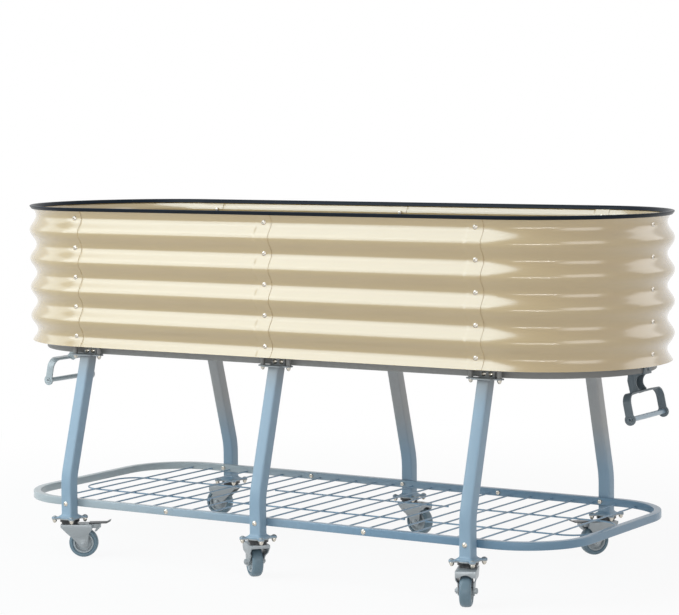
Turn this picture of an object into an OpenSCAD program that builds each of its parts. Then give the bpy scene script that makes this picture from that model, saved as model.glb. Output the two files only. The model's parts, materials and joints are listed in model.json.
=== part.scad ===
/* [Bed] */
// Length of the bed over the ridges
bed_length = 1820; // [1500:10:2400]
// Width of the bed over the ridges
bed_width = 610; // [520:10:800]
// Height of the wall sheets
wall_height = 356; // [320:1:400]
// Distance from one ridge of the corrugation to the next
wave_pitch = 76; // [70:1:80]
// Depth of the corrugation
wave_depth = 17.5; // [12:0.5:20]
// Thickness of the wall sheets
sheet = 1; // [0.7:0.1:1.4]
// Distance that one wall sheet laps over the next
lap_width = 40; // [36:1:50]
// Distance from a bolt column to the edge of the sheet on top
lap_bolt_inset = 22; // [16:1:26]
// Length of the straight part of a corner sheet
corner_straight = 15; // [5:1:25]
// Height that the edge trim grips the sheets
rim_grip = 8; // [6:0.5:12]
// Thickness of the edge trim
rim_wall = 1.4; // [1:0.1:2]

/* [Base frame] */
// Outer size of the square base frame tube
frame_tube = 25; // [22:1:30]
// Wall thickness of the base frame tube
frame_gauge = 1.5; // [1.2:0.1:2]
// Distance from the ridges in to the base frame
frame_inset = 43; // [40:1:50]
// Distance that the wall sheets hang below the top of the base frame
wall_drop = 4.6; // [2:0.2:8]
// Thickness of the floor trays
tray_gauge = 1.5; // [1:0.1:2]
// Height of the lip round a floor tray
tray_lip = 36; // [32:1:44]
// Diameter of a drain hole
drain_bore = 10; // [6:1:14]

/* [Legs] */
// Outer size of the square leg tube
leg_tube = 32; // [28:1:36]
// Wall thickness of the leg tube
leg_gauge = 1.5; // [1.2:0.1:2.5]
// Distance from the centre of a round end in to the end legs
leg_inset = 19.5; // [10:0.5:60]
// Distance from the centre line to a foot
foot_span = 360; // [345:1:375]
// Distance from the middle of the base frame tube out to the middle of a leg's top
head_offset = 21.5; // [17:0.5:24]
// Height of a leg from its foot plate to its head plate
leg_height = 408; // [360:1:520]
// Height of the bend above the foot plate
bend_height = 98; // [90:1:110]
// Bend radius of the leg tube
bend_radius = 170; // [120:5:200]
// Thickness of the foot and head plates
plate = 3; // [2.5:0.5:4]
// Distance between the bolts of a foot plate
foot_bolt_pitch = 55; // [54:0.5:58]

/* [Shelf] */
// Outer size of the square shelf tube
shelf_tube = 19; // [17:1:22]
// Wall thickness of the shelf tube
shelf_gauge = 1.2; // [1:0.1:1.6]
// Distance from an end leg to the end of the shelf
shelf_overhang = 224.5; // [200:0.5:260]
// Height of the middle of the shelf tube above the foot plates
shelf_height = 34; // [30:1:40]
// Outer corner radius of the shelf
shelf_corner = 175; // [150:1:185]
// Distance from the middle to a shelf joint's bolt
joint_bolt_x = 291; // [286:1:296]
// Diameter of the shelf wires
wire = 4; // [3:0.5:5]
// Distance from one cross wire to the next in the middle of the shelf
wire_pitch = 58.5; // [56:0.5:60]
// Distance from one cross wire to the next at the ends of the shelf
end_wire_pitch = 60; // [58:0.5:60]
// Distance from the centre line to a lengthwise wire
long_wire_y = 108; // [90:1:130]

/* [Casters] */
// Diameter of the wheels
wheel_diameter = 75; // [68:1:76]
// Width of the tyres
tyre_width = 28; // [24:1:30]
// Diameter of the hub inside the tyre
hub_diameter = 52; // [46:1:56]
// Distance from a swivel axis to its wheel's axle
trail = 35; // [33:0.5:37]
// Height of the top of a caster plate
caster_height = 102; // [100:1:110]
// Diameter of an axle
axle_diameter = 8; // [6:0.5:10]
// Diameter of a kingpin
kingpin_diameter = 10; // [8:0.5:12]
// Turn of each caster in the order of the CASTERS list, counter-clockwise from +X
caster_turn = [33, 140, -67, -170, -8, -127];

/* [Handles] */
// Diameter of the grip bar
grip_diameter = 13; // [11:0.5:14]
// Length of the grip bar
grip_length = 189; // [160:1:240]
// Distance from the base frame down to the grip bar
grip_drop = 102; // [90:1:120]
// Width of the stirrup strap
strap_width = 20; // [16:1:24]
// Thickness of the stirrup strap
strap_gauge = 4; // [3:0.5:5]
// Lean of the stirrup towards the bed
strap_lean = 12; // [8:1:14]

/* [Hidden] */
$fn = 64;
CASTERS = ["front_left", "front_middle", "front_right", "back_left", "back_middle", "back_right"];

// Clearances
fit = 0.05;
contact = 0.15;
loose = 0.3;

// Heights from the floor up
foot_top = caster_height + plate;
head_under = foot_top + leg_height;
base_z = head_under + plate;
base_top = base_z + frame_tube;
sheet_bottom = base_top - wall_drop;
sheet_top = sheet_bottom + wall_height;
sheet_middle = (sheet_bottom + sheet_top) / 2;
shelf_z = foot_top + shelf_height;

// Plan of the bed: two straight sides and two half circles
ridge_r = bed_width / 2;
end_x = (bed_length - bed_width) / 2;
leg_pitch = end_x - leg_inset;
arc_run = PI * ridge_r;
side_seam_x = end_x - corner_straight;
SEAMS = [
  -end_x - arc_run / 2, -side_seam_x, 0, side_seam_x, end_x + arc_run / 2,
  end_x + arc_run + corner_straight, 2 * end_x + arc_run,
  2 * end_x + arc_run + side_seam_x, 3 * end_x + 1.5 * arc_run
];
joggle = 4;
joggle_inset = 0.1;
lap_gap = 0.1;
lap_step = sheet + lap_gap;
// Levels of the upper and the lower sheet at each seam, 0 being the main outer face
LAPS = [[0, -1], [-1, -2], [1, 0], [1, 0], [0, -1], [-1, -2], [1, 0], [1, 0], [0, -1]];
MAIN_LEVEL = [-1, 0, 0, 0, -1, 0, 0, 0];
deepest = 3 * sheet + 2 * lap_gap;
wave_step = wave_pitch / 8;
valley_count = 2 * floor((wall_height / 2 - 12) / wave_pitch) + 1;
VALLEYS = [for (i = [0:valley_count - 1]) sheet_middle + (i - (valley_count - 1) / 2) * wave_pitch];

// Fasteners
bolt_r = 3;
bolt_hole_r = bolt_r + loose;
head_r = 6.5;
head_h = 3.5;
nut_r = 5.7;
nut_h = 5;
bolt_end = 2;
seam_drill = 16;

// Base frame
base_r = ridge_r - frame_inset;
base_centre_r = base_r - frame_tube / 2;
base_corner_r = 2.5;
plug_fixed = 20;
plug_length = 40;
bow_plug_length = min(plug_length, leg_inset - 1);
lip_r = ridge_r - wave_depth - deepest - loose;
LEG_X = [-leg_pitch, 0, leg_pitch];
TIE_X = [-leg_pitch, -leg_pitch / 2, 0, leg_pitch / 2, leg_pitch];
drain_pitch = 120;
drain_start = 80;
drain_margin = 60;
DRAIN_Y = [-160, 0, 160];

// Head bracket at the top of a leg
head_span = base_centre_r + head_offset;
head_plate_w = 52;
head_plate_lap = 5;
head_plate_margin = 11;
head_plate_in = base_centre_r - head_plate_lap;
head_plate_out = head_span + leg_tube / 2 + head_plate_margin;
ear_x = 38;
ear_shift = 3.6;
ear_y = (base_r + lip_r - tray_gauge) / 2 + ear_shift;
ear_r = 11;
flange_w = 40;
flange_h = 17;
flange_bolt_x = 9.5;
flange_bolt_rise = 8;
flange_bolt_z = base_z + flange_bolt_rise;
bolt_tip_drop = 10;
spacer_r = 6;

// Legs
leg_corner_r = 5;
lean = atan((foot_span - head_span) / (leg_height - bend_height));
bend_start = round(10 * (foot_top + bend_height - bend_radius * tan(lean / 2))) / 10;
bend_overlap = 1;
foot_disc_r = 27;
foot_ear_r = 7.5;
foot_arm_inset = 0.3;

// Shelf
shelf_side = foot_span - leg_tube / 2;
shelf_mid_y = shelf_side - shelf_tube / 2;
shelf_end = leg_pitch + shelf_overhang;
shelf_corner_x = shelf_end - shelf_corner;
shelf_corner_y = shelf_side - shelf_corner;
shelf_in = shelf_side - shelf_tube;
shelf_tube_r = 2;
joint_reach = 20;
wire_drop = 4;
wire_weld = 0.3;
cross_z = shelf_z - wire_drop;
long_z = cross_z - wire + wire_weld;
middle_count = 2 * floor((joint_bolt_x - joint_reach) / wire_pitch + 0.5);
MIDDLE_WIRES = [for (i = [0:middle_count - 1]) (i - (middle_count - 1) / 2) * wire_pitch];
mesh_gap = 63;
loop_reach = 69;
loop_clearance = 50;
loop_r = 62;
end_wire_start = MIDDLE_WIRES[middle_count - 1] + mesh_gap;
end_count = floor((shelf_end - loop_clearance - loop_reach - end_wire_start) / end_wire_pitch) + 1;
END_WIRES = [for (i = [0:end_count - 1]) end_wire_start + i * end_wire_pitch];
loop_end = END_WIRES[end_count - 1] + loop_reach;

// Casters
wheel_r = wheel_diameter / 2;
hub_r = hub_diameter / 2;
axle_r = axle_diameter / 2;
kingpin_r = kingpin_diameter / 2;
caster_plate = 3;
race_r = 25;
race_h = 7;
race_gap = 0.5;
lower_race_r = 21;
fork_drop = 16;
crown_top = caster_height - fork_drop;
fork_gauge = 2.5;
crown_half = 24;
crown_skirt = 15;
arch_r = 21;
arch_rise = 6;
cheek_in = tyre_width / 2 + 2.7;
cheek_half = cheek_in + fork_gauge;
cheek_turn_z = 60;
crown_back = -22;
crown_front = 58;
axle_half = cheek_half + 7.5;
axle_hex_r = 7.5;
axle_head_h = 5;
axle_nut_h = 6;
axle_boss_r = 11.5;
rivet_r = 9;
rivet_h = 4;
kingpin_seat = 1.5;
pedal_pin = [64, 80];
pedal_pin_r = 2.5;
ear_in = 8;
ear_gauge = 3;
pedal_half = 14;
pedal_gauge = 2;
pedal_z = 87.5;
pedal_start = 50;
pedal_tip = [105, 95];
lug_half = 6.5;
lug_front = 80;
LUG_TEETH = [[68, 74], [63.5, 68], [66, 65], [71, 68.5], [72, 71], [75, 72], [76, 75], [79, 76]];

// Handles
cheek_y = 20;
bracket_gauge = 3;
eye_r = 13.6;
eye_y = grip_length / 2 - 3.5;
stirrup_rise = 61;
stirrup_corner = 25;
saddle_h = 13;
bracket_reach = 39;
grip_out = 1;
grip_gauge = 2.5;
notch = [1, -22];
notch_r = 19.5;
CHEEK_SIDE = [
  [-bracket_reach, 0], [-41, -20], [-34, -48], [-27, -52.5], [-12, -47], [-9, -38], [3, -4], [3, 0]
];
CHEEK_BACK = [[-bracket_reach, 0], [-41, -20], [-34, -48], [-31, -47], [-38, -20], [-36, 0]];

steel = [0.55, 0.6, 0.65];
cream = [0.88, 0.86, 0.78];
navy = [0.1, 0.16, 0.22];
zinc = [0.72, 0.72, 0.7];
rubber = [0.45, 0.48, 0.48];

// Depth of the corrugation at a height, 0 on a ridge
function wave(z) = -wave_depth * (1 + cos(360 * (z - sheet_middle) / wave_pitch)) / 2;
// Rise of the facet next to a valley, at a distance from the valley
function valley_rise(d) = wave_depth * (1 - cos(45)) / 2 * d / wave_step;
half_steps = floor(wall_height / 2 / wave_step);
WAVE_Z = concat(
  [sheet_bottom],
  [for (k = [-half_steps:half_steps])
    if (abs(k * wave_step) < wall_height / 2 - 1) sheet_middle + k * wave_step],
  [sheet_top]
);
// Direction that the wall faces at a station, counted counter-clockwise from the middle of the front
function facing(s) =
  s < -end_x ? -90 + (s + end_x) / ridge_r * 180 / PI :
  s <= end_x ? -90 :
  s < end_x + arc_run ? -90 + (s - end_x) / ridge_r * 180 / PI :
  s <= 3 * end_x + arc_run ? 90 :
  90 + (s - 3 * end_x - arc_run) / ridge_r * 180 / PI;
// Place along X of the centre that a station turns about
function centre_x(s) =
  s < -end_x ? -end_x :
  s <= end_x ? s :
  s < end_x + arc_run ? end_x :
  s <= 3 * end_x + arc_run ? 2 * end_x + arc_run - s :
  -end_x;

// Angle of a run along the end's half circle, in whole thousandths of a degree
function arc_angle(run) = round(run / ridge_r * 180000 / PI) / 1000;

module at_station(s) {
  translate([centre_x(s), 0, 0]) rotate(facing(s)) children();
}

// Straight stretch of a section, from one place along Y to another
module run_y(from, to) {
  translate([0, to, 0]) rotate([90, 0, 0]) linear_extrude(to - from) children();
}

// Straight stretch of a section drawn as (Y, Z), from one place along X to another
module run_x(from, to) {
  translate([from, 0, 0]) rotate([90, 0, 90]) linear_extrude(to - from) children();
}

// Sweep of a section along the plan of the bed from one station to another
module plan_run(from, to) {
  for (piece = [[-end_x, end_x, 0, -90], [end_x + arc_run, 3 * end_x + arc_run, 2 * end_x + arc_run, 90]]) {
    a = max(from, piece[0]);
    b = min(to, piece[1]);
    if (b > a) rotate(piece[3]) run_y(a - piece[2], b - piece[2]) children();
  }
  for (piece = [
    [-end_x - arc_run, -end_x, -1], [end_x, end_x + arc_run, 1],
    [3 * end_x + arc_run, 3 * end_x + 2 * arc_run, -1]
  ]) {
    a = max(from, piece[0]);
    b = min(to, piece[1]);
    from_angle = arc_angle(a - piece[0]);
    turn = arc_angle(b - piece[0]) - from_angle;
    if (b > a)
      translate([piece[2] * end_x, 0, 0])
        rotate_extrude(start = piece[2] * -90 + from_angle, angle = turn, $fn = max(256, ceil(1500 / turn)))
          children();
  }
}

// Section between two offsets from the wall's main outer face
module wave_section(inner, outer) {
  polygon(concat(
    [for (z = WAVE_Z) [ridge_r + outer + wave(z), z]],
    [for (i = [len(WAVE_Z) - 1:-1:0]) [ridge_r + inner + wave(WAVE_Z[i]), WAVE_Z[i]]]
  ));
}

module level_section(level) {
  wave_section(level * lap_step - sheet, level * lap_step);
}

// Section of the short step that joins two levels
module joggle_section(low, high) {
  wave_section(low * lap_step - sheet + joggle_inset, high * lap_step - joggle_inset);
}

// Holes of the bolt column that goes with a seam
module seam_holes(s, rows) {
  at_station(s - lap_bolt_inset)
    for (z = rows)
      translate([ridge_r - wave_depth - seam_drill / 2, 0, z])
        rotate([0, 90, 0]) cylinder(r = bolt_hole_r, h = seam_drill, $fn = 32);
}

// Wall sheet from seam i to the next: its start lies under the sheet before it and its end laps over the next
module wall_sheet(i) {
  first = LAPS[i][1];
  main = MAIN_LEVEL[i];
  last = LAPS[i + 1][0];
  start = SEAMS[i] - lap_width + contact;
  step_in = SEAMS[i] + joggle;
  step_out = SEAMS[i + 1] - lap_width;
  difference() {
    union() {
      if (first < main) {
        plan_run(start, step_in - joggle / 2) level_section(first);
        plan_run(step_in - joggle + contact, step_in) joggle_section(first, main);
      }
      plan_run(
        first < main ? step_in - joggle / 2 : start,
        last > main ? step_out - joggle / 2 : SEAMS[i + 1]
      )
        level_section(main);
      if (last > main) {
        plan_run(step_out - joggle, step_out) joggle_section(main, last);
        plan_run(step_out - joggle / 2, SEAMS[i + 1]) level_section(last);
      }
    }
    seam_holes(SEAMS[i], VALLEYS);
    seam_holes(SEAMS[i + 1], VALLEYS);
  }
}

module rim_section() {
  slot_out = lap_gap + sheet + contact;
  slot_in = -deepest - contact;
  z0 = sheet_top - rim_grip;
  z1 = sheet_top - rim_grip / 2;
  z2 = sheet_top + contact;
  cap = z2 + rim_wall;
  polygon([
    [ridge_r + wave(z0) + slot_out, z0], [ridge_r + wave(z0) + slot_out + rim_wall, z0],
    [ridge_r + wave(z1) + slot_out + rim_wall, z1], [ridge_r + wave(z2) + slot_out + rim_wall, z2],
    [ridge_r + wave(z2) + slot_out, cap], [ridge_r + wave(z2) + slot_in, cap],
    [ridge_r + wave(z2) + slot_in - rim_wall, z2], [ridge_r + wave(z1) + slot_in - rim_wall, z1],
    [ridge_r + wave(z0) + slot_in - rim_wall, z0], [ridge_r + wave(z0) + slot_in, z0],
    [ridge_r + wave(z1) + slot_in, z1], [ridge_r + wave(z2) + slot_in, z2],
    [ridge_r + wave(z2) + slot_out, z2], [ridge_r + wave(z1) + slot_out, z1]
  ]);
}

module rim_trim() {
  color(navy) plan_run(-end_x, 3 * end_x + 2 * arc_run) rim_section();
}

// Domed bolt along -X with its seat at the origin
module bolt(length) {
  rotate([0, -90, 0]) cylinder(r = bolt_r, h = length, $fn = 32);
  dome_r = (head_r * head_r + head_h * head_h) / (2 * head_h);
  rotate([0, 90, 0])
    rotate_extrude($fn = 32)
      intersection() {
        translate([0, head_h - dome_r]) circle(r = dome_r, $fn = 64);
        square([head_r, head_h]);
      }
}

// Hexagon nut along -X with its seat at the origin
module nut() {
  rotate([0, -90, 0])
    difference() {
      cylinder(r = nut_r, h = nut_h, $fn = 6);
      translate([0, 0, -1]) cylinder(r = bolt_r + fit, h = nut_h + 2, $fn = 32);
    }
}

module seam_fasteners() {
  valley_r = ridge_r - wave_depth;
  color(cream)
    for (i = [0:7])
      at_station(SEAMS[i] - lap_bolt_inset) {
        seat = valley_r + LAPS[i][0] * lap_step + valley_rise(head_r) + contact;
        for (k = [0:len(VALLEYS) - 1]) {
          behind = k == 0 ? lip_r - tray_gauge - contact : valley_r + LAPS[i][1] * lap_step - sheet - contact;
          translate([seat, 0, VALLEYS[k]]) bolt(seat - behind + nut_h + bolt_end);
          translate([behind, 0, VALLEYS[k]]) nut();
        }
      }
}

module round_square(size, r) {
  square([size, size - 2 * r], center = true);
  square([size - 2 * r, size], center = true);
  for (x = [-1, 1], y = [-1, 1]) translate([x, y] * (size / 2 - r)) circle(r = r, $fn = 32);
}

module tube_section(size, gauge, r) {
  difference() {
    round_square(size, r);
    round_square(size - 2 * gauge, r - gauge / 2);
  }
}

module base_section() {
  tube_section(frame_tube, frame_gauge, base_corner_r);
}

// Reduced tube end, which reaches out of its own tube by a length, towards +X where way is 1
module base_plug(x, way, reach) {
  inner = frame_tube - 2 * frame_gauge;
  own = way > 0 ? [x - plug_fixed, x] : [x, x + plug_fixed];
  free = way > 0 ? [x, x + reach] : [x - reach, x];
  run_x(own[0], own[1]) tube_section(inner, frame_gauge, base_corner_r - frame_gauge / 2);
  run_x(free[0], free[1]) tube_section(inner - 2 * contact, frame_gauge, base_corner_r - frame_gauge / 2);
}

module flange_holes() {
  for (x = LEG_X, side = [-flange_bolt_x, flange_bolt_x])
    translate([x + side, -base_centre_r, flange_bolt_z])
      rotate([90, 0, 0]) cylinder(r = bolt_hole_r, h = frame_tube, $fn = 32);
}

// Front rail between the leg lines, with plugs of two lengths at its ends, 0 for none
module base_rail(from, to, plugs) {
  difference() {
    translate([0, -base_centre_r, base_z + frame_tube / 2]) {
      run_x(from, to) base_section();
      if (plugs[0] > 0) base_plug(from, -1, plugs[0]);
      if (plugs[1] > 0) base_plug(to, 1, plugs[1]);
    }
    flange_holes();
  }
}

module plugged_rail() {
  base_rail(-leg_pitch, 0, [bow_plug_length, plug_length]);
}

module socket_rail() {
  base_rail(0, leg_pitch, [0, bow_plug_length]);
}

// Right end of the base frame
module base_bow() {
  difference() {
    translate([0, 0, base_z + frame_tube / 2]) {
      for (side = [-1, 1])
        translate([0, side * base_centre_r, 0]) run_x(leg_pitch, end_x) base_section();
      translate([end_x, 0, 0])
        rotate(-90) rotate_extrude(angle = 180, $fn = 256) translate([base_centre_r, 0]) base_section();
    }
    for (side = [0, 1]) mirror([0, side, 0]) flange_holes();
    handle_bolt_holes();
  }
}

module cross_ties() {
  color(steel)
    for (x = TIE_X)
      translate([x, 0, base_z + frame_tube / 2])
        run_y(contact - base_r + frame_tube, base_r - frame_tube - contact) base_section();
}

// Outline of the bed at a radius, for x above 0
module half_plan(r) {
  translate([0, -r]) square([end_x, 2 * r]);
  translate([end_x, 0]) intersection() {
    circle(r = r, $fn = 256);
    translate([0, -r]) square([r, 2 * r]);
  }
}

// Right floor tray with its lip and drain holes
module floor_tray() {
  difference() {
    translate([0, 0, base_top]) {
      linear_extrude(tray_gauge) half_plan(lip_r);
      linear_extrude(tray_lip) difference() {
        half_plan(lip_r);
        translate([-1, tray_gauge - lip_r]) square([2 + end_x, 2 * (lip_r - tray_gauge)]);
        translate([end_x, 0]) circle(r = lip_r - tray_gauge, $fn = 256);
      }
    }
    translate([-1, -bed_width, base_top - 1]) cube([1 + loose / 2, 2 * bed_width, tray_lip + 2]);
    for (x = [drain_start:drain_pitch:end_x + base_r - drain_margin], y = DRAIN_Y)
      translate([x, y, base_top - 1]) cylinder(r = drain_bore / 2, h = tray_gauge + 2, $fn = 32);
    for (x = LEG_X, side = [-ear_x, ear_x], y = [-ear_y, ear_y])
      translate([x + side, y, base_top - 1]) cylinder(r = bolt_hole_r, h = tray_gauge + 2, $fn = 32);
    for (i = [0:8]) seam_holes(SEAMS[i], [VALLEYS[0]]);
  }
}

module foot_outline() {
  circle(r = foot_disc_r);
  for (turn = [45, 135])
    rotate(turn) square([foot_bolt_pitch * sqrt(2), 2 * (foot_ear_r - foot_arm_inset)], center = true);
  for (x = [-1, 1], y = [-1, 1])
    translate([x, y] * foot_bolt_pitch / 2) circle(r = foot_ear_r, $fn = 32);
}

module foot_plate(thickness) {
  linear_extrude(thickness)
    difference() {
      foot_outline();
      for (x = [-1, 1], y = [-1, 1])
        translate([x, y] * foot_bolt_pitch / 2) circle(r = bolt_hole_r, $fn = 32);
    }
}

// Welded bracket that carries the base frame, with two ears under the bed
module head_bracket() {
  translate([0, 0, head_under])
    linear_extrude(plate)
      difference() {
        union() {
          translate([-head_plate_w / 2, head_plate_in]) square([head_plate_w, head_plate_out - head_plate_in]);
          translate([-ear_x, ear_y - ear_r]) square([2 * ear_x, 2 * ear_r]);
          for (side = [-1, 1]) translate([side * ear_x, ear_y]) circle(r = ear_r, $fn = 32);
        }
        for (side = [-1, 1]) translate([side * ear_x, ear_y]) circle(r = bolt_hole_r, $fn = 32);
      }
  difference() {
    translate([-flange_w / 2, base_r + contact, head_under]) cube([flange_w, plate, plate + flange_h]);
    for (side = [-1, 1])
      translate([side * flange_bolt_x, base_r + plate + 1, flange_bolt_z])
        rotate([90, 0, 0]) cylinder(r = bolt_hole_r, h = plate + 2, $fn = 32);
  }
}

// Back leg on the line x = 0, with its foot plate and head bracket
module leg() {
  difference() {
    union() {
      translate([0, foot_span, foot_top])
        linear_extrude(bend_start + bend_overlap - foot_top) leg_section();
      translate([0, foot_span - bend_radius, bend_start]) {
        rotate([90, 0, 90])
          rotate_extrude(angle = lean, $fn = 256) translate([bend_radius, 0]) bend_section();
        difference() {
          rotate([lean, 0, 0])
            translate([0, bend_radius, -bend_overlap]) linear_extrude(leg_height) leg_section();
          translate([-leg_tube, -foot_span, head_under - bend_start])
            cube([2 * leg_tube, 2 * foot_span, leg_height]);
        }
      }
      translate([0, foot_span, caster_height]) foot_plate(plate);
      head_bracket();
    }
    translate([0, foot_span + leg_tube, shelf_z])
      rotate([90, 0, 0]) cylinder(r = bolt_hole_r, h = 2 * leg_tube, $fn = 32);
  }
}

module leg_section() {
  tube_section(leg_tube, leg_gauge, leg_corner_r);
}

// Section of the bend, whose wall takes in the walls of the straight stretches
module bend_section() {
  tube_section(leg_tube + 2 * fit, leg_gauge + 2 * fit, leg_corner_r);
}

module head_fasteners() {
  color(cream)
    for (x = LEG_X, way = [0, 1])
      mirror([0, way, 0])
        for (side = [-1, 1]) {
          translate([x + side * ear_x, ear_y, base_top + tray_gauge])
            rotate([0, -90, 0]) bolt(base_top + tray_gauge - head_under + bolt_tip_drop);
          translate([x + side * ear_x, ear_y, head_under]) rotate([0, -90, 0]) nut();
          translate([x + side * ear_x, ear_y, base_z])
            difference() {
              cylinder(r = spacer_r, h = frame_tube, $fn = 32);
              translate([0, 0, -1]) cylinder(r = bolt_hole_r, h = frame_tube + 2, $fn = 32);
            }
          translate([x + side * flange_bolt_x, base_r + plate + contact, flange_bolt_z])
            rotate(90) bolt(plate + 2 * frame_gauge + 3);
        }
}

module shelf_section() {
  tube_section(shelf_tube, shelf_gauge, shelf_tube_r);
}

// Reduced shelf tube end, like the base frame's
module shelf_plug(x, way) {
  inner = shelf_tube - 2 * shelf_gauge;
  own = way > 0 ? [x - joint_reach, x] : [x, x + joint_reach];
  free = way > 0 ? [x, x + 2 * joint_reach] : [x - 2 * joint_reach, x];
  run_x(own[0], own[1]) tube_section(inner, shelf_gauge, shelf_tube_r - shelf_gauge / 2);
  run_x(free[0], free[1]) tube_section(inner - 2 * contact, shelf_gauge, shelf_tube_r - shelf_gauge / 2);
}

module shelf_bolt_holes() {
  for (x = [-leg_pitch, -joint_bolt_x, 0, joint_bolt_x, leg_pitch], side = [-1, 1])
    translate([x, side * shelf_mid_y + shelf_tube, shelf_z])
      rotate([90, 0, 0]) cylinder(r = bolt_hole_r, h = 2 * shelf_tube, $fn = 32);
}

// Right end of the shelf frame: its front arm ends in a plug and its back arm is a socket
module shelf_bow() {
  front_end = joint_bolt_x + joint_reach;
  back_end = joint_bolt_x - joint_reach;
  difference() {
    translate([0, 0, shelf_z]) {
      translate([0, -shelf_mid_y, 0]) {
        run_x(front_end, shelf_corner_x) shelf_section();
        shelf_plug(front_end, -1);
      }
      translate([0, shelf_mid_y, 0]) run_x(back_end, shelf_corner_x) shelf_section();
      for (side = [-1, 1])
        translate([shelf_corner_x, side * shelf_corner_y, 0])
          rotate(side < 0 ? -90 : 0)
            rotate_extrude(angle = 90, $fn = 256) translate([shelf_corner - shelf_tube / 2, 0]) shelf_section();
      translate([shelf_end - shelf_tube / 2, 0, 0]) run_y(-shelf_corner_y, shelf_corner_y) shelf_section();
    }
    shelf_bolt_holes();
  }
}

// Front rail of the shelf: a plug at its left end and a socket at its right end
module shelf_rail() {
  difference() {
    translate([0, -shelf_mid_y, shelf_z]) {
      run_x(joint_reach - joint_bolt_x, joint_bolt_x + joint_reach) shelf_section();
      shelf_plug(joint_reach - joint_bolt_x, -1);
    }
    shelf_bolt_holes();
  }
}

module wire_y(x, half) {
  translate([x, half, cross_z]) rotate([90, 0, 0]) cylinder(r = wire / 2, h = 2 * half, $fn = 16);
}

module wire_x(from, to, y) {
  translate([from, y, long_z]) rotate([0, 90, 0]) cylinder(r = wire / 2, h = to - from, $fn = 16);
}

module shelf_mesh_middle() {
  color(steel) {
    for (x = MIDDLE_WIRES) wire_y(x, shelf_in - contact);
    for (y = [-long_wire_y, long_wire_y])
      wire_x(MIDDLE_WIRES[0] - wire / 2, MIDDLE_WIRES[middle_count - 1] + wire / 2, y);
  }
}

// Half length of a cross wire that ends on the inner face of the shelf frame
function wire_reach(x) =
  x + wire / 2 < shelf_corner_x ? shelf_in - contact :
  shelf_corner_y + sqrt(pow(shelf_corner - shelf_tube, 2) - pow(x + wire / 2 - shelf_corner_x, 2)) - contact;

// Right end of the shelf mesh, with one wire bent round as its two lengthwise wires
module shelf_mesh_end() {
  for (x = END_WIRES) wire_y(x, wire_reach(x));
  for (side = [-1, 1]) {
    wire_x(END_WIRES[0] - wire / 2, loop_end - loop_r, side * long_wire_y);
    translate([loop_end - loop_r, side * (long_wire_y - loop_r), long_z])
      rotate(side < 0 ? -90 : 0)
        rotate_extrude(angle = 90, $fn = 64) translate([loop_r, 0]) circle(r = wire / 2, $fn = 16);
  }
  translate([loop_end, long_wire_y - loop_r, long_z])
    rotate([90, 0, 0]) cylinder(r = wire / 2, h = 2 * (long_wire_y - loop_r), $fn = 16);
}

module shelf_fasteners() {
  color(cream)
    for (way = [0, 1])
      mirror([0, way, 0]) {
        for (x = LEG_X) {
          translate([x, foot_span + leg_tube / 2 + contact, shelf_z])
            rotate(90) bolt(leg_tube + shelf_tube + 2 * contact + nut_h + bolt_end);
          translate([x, shelf_in - contact, shelf_z]) rotate(90) nut();
        }
        for (x = [-joint_bolt_x, joint_bolt_x]) {
          translate([x, shelf_side + contact, shelf_z])
            rotate(90) bolt(shelf_tube + 2 * contact + nut_h + bolt_end);
          translate([x, shelf_in - contact, shelf_z]) rotate(90) nut();
        }
      }
}

// Places on the right end where the handle bracket is bolted to the base frame
module handle_bolt_holes() {
  translate([end_x + base_r - frame_tube - 2 * bracket_gauge, 0, flange_bolt_z])
    rotate([0, 90, 0]) cylinder(r = bolt_hole_r, h = frame_tube + 4 * bracket_gauge, $fn = 32);
}

module bracket_cheek() {
  difference() {
    polygon(CHEEK_SIDE);
    translate(notch) circle(r = notch_r);
  }
}

module stirrup_outline() {
  outer_y = eye_y + strap_gauge / 2;
  difference() {
    stirrup_block(outer_y, stirrup_rise, stirrup_corner);
    translate([0, -1])
      stirrup_block(outer_y - strap_gauge, stirrup_rise - strap_gauge + 1, stirrup_corner - strap_gauge);
  }
}

module stirrup_block(half, rise, r) {
  translate([-half, 0]) square([2 * half, rise - r]);
  translate([r - half, 0]) square([2 * (half - r), rise]);
  for (side = [-1, 1]) translate([side * (half - r), rise - r]) circle(r = r);
}

// Right handle bracket with its stirrup welded on
module handle() {
  color(steel)
    difference() {
      union() {
        translate([end_x + base_r, 0, base_z]) {
          for (y = [-cheek_y, cheek_y - bracket_gauge]) run_y(y, y + bracket_gauge) bracket_cheek();
          run_y(-cheek_y, cheek_y) polygon(CHEEK_BACK);
          translate([-bracket_reach, -cheek_y, -bracket_gauge])
            cube([bracket_reach + bracket_gauge + contact, 2 * cheek_y, bracket_gauge]);
          for (x = [contact, -frame_tube - 1 - bracket_gauge])
            translate([x, -cheek_y, -bracket_gauge]) cube([bracket_gauge, 2 * cheek_y, bracket_gauge + saddle_h]);
        }
        translate([end_x + base_r + grip_out, 0, base_z - grip_drop])
          rotate([0, -strap_lean, 0]) {
            run_x(-strap_width / 2, strap_width / 2) stirrup_outline();
            for (y = [-eye_y, eye_y])
              translate([0, y - strap_gauge / 2, 0]) rotate([-90, 0, 0]) cylinder(r = eye_r, h = strap_gauge);
          }
      }
      handle_bolt_holes();
      translate([end_x + base_r + grip_out, -grip_length, base_z - grip_drop])
        rotate([-90, 0, 0]) cylinder(r = grip_diameter / 2 + fit, h = 2 * grip_length);
    }
}

module grip() {
  color(steel)
    translate([end_x + base_r + grip_out, -grip_length / 2, base_z - grip_drop])
      rotate([-90, 0, 0])
        difference() {
          cylinder(r = grip_diameter / 2, h = grip_length);
          translate([0, 0, -1]) cylinder(r = grip_diameter / 2 - grip_gauge, h = grip_length + 2);
        }
}

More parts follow.
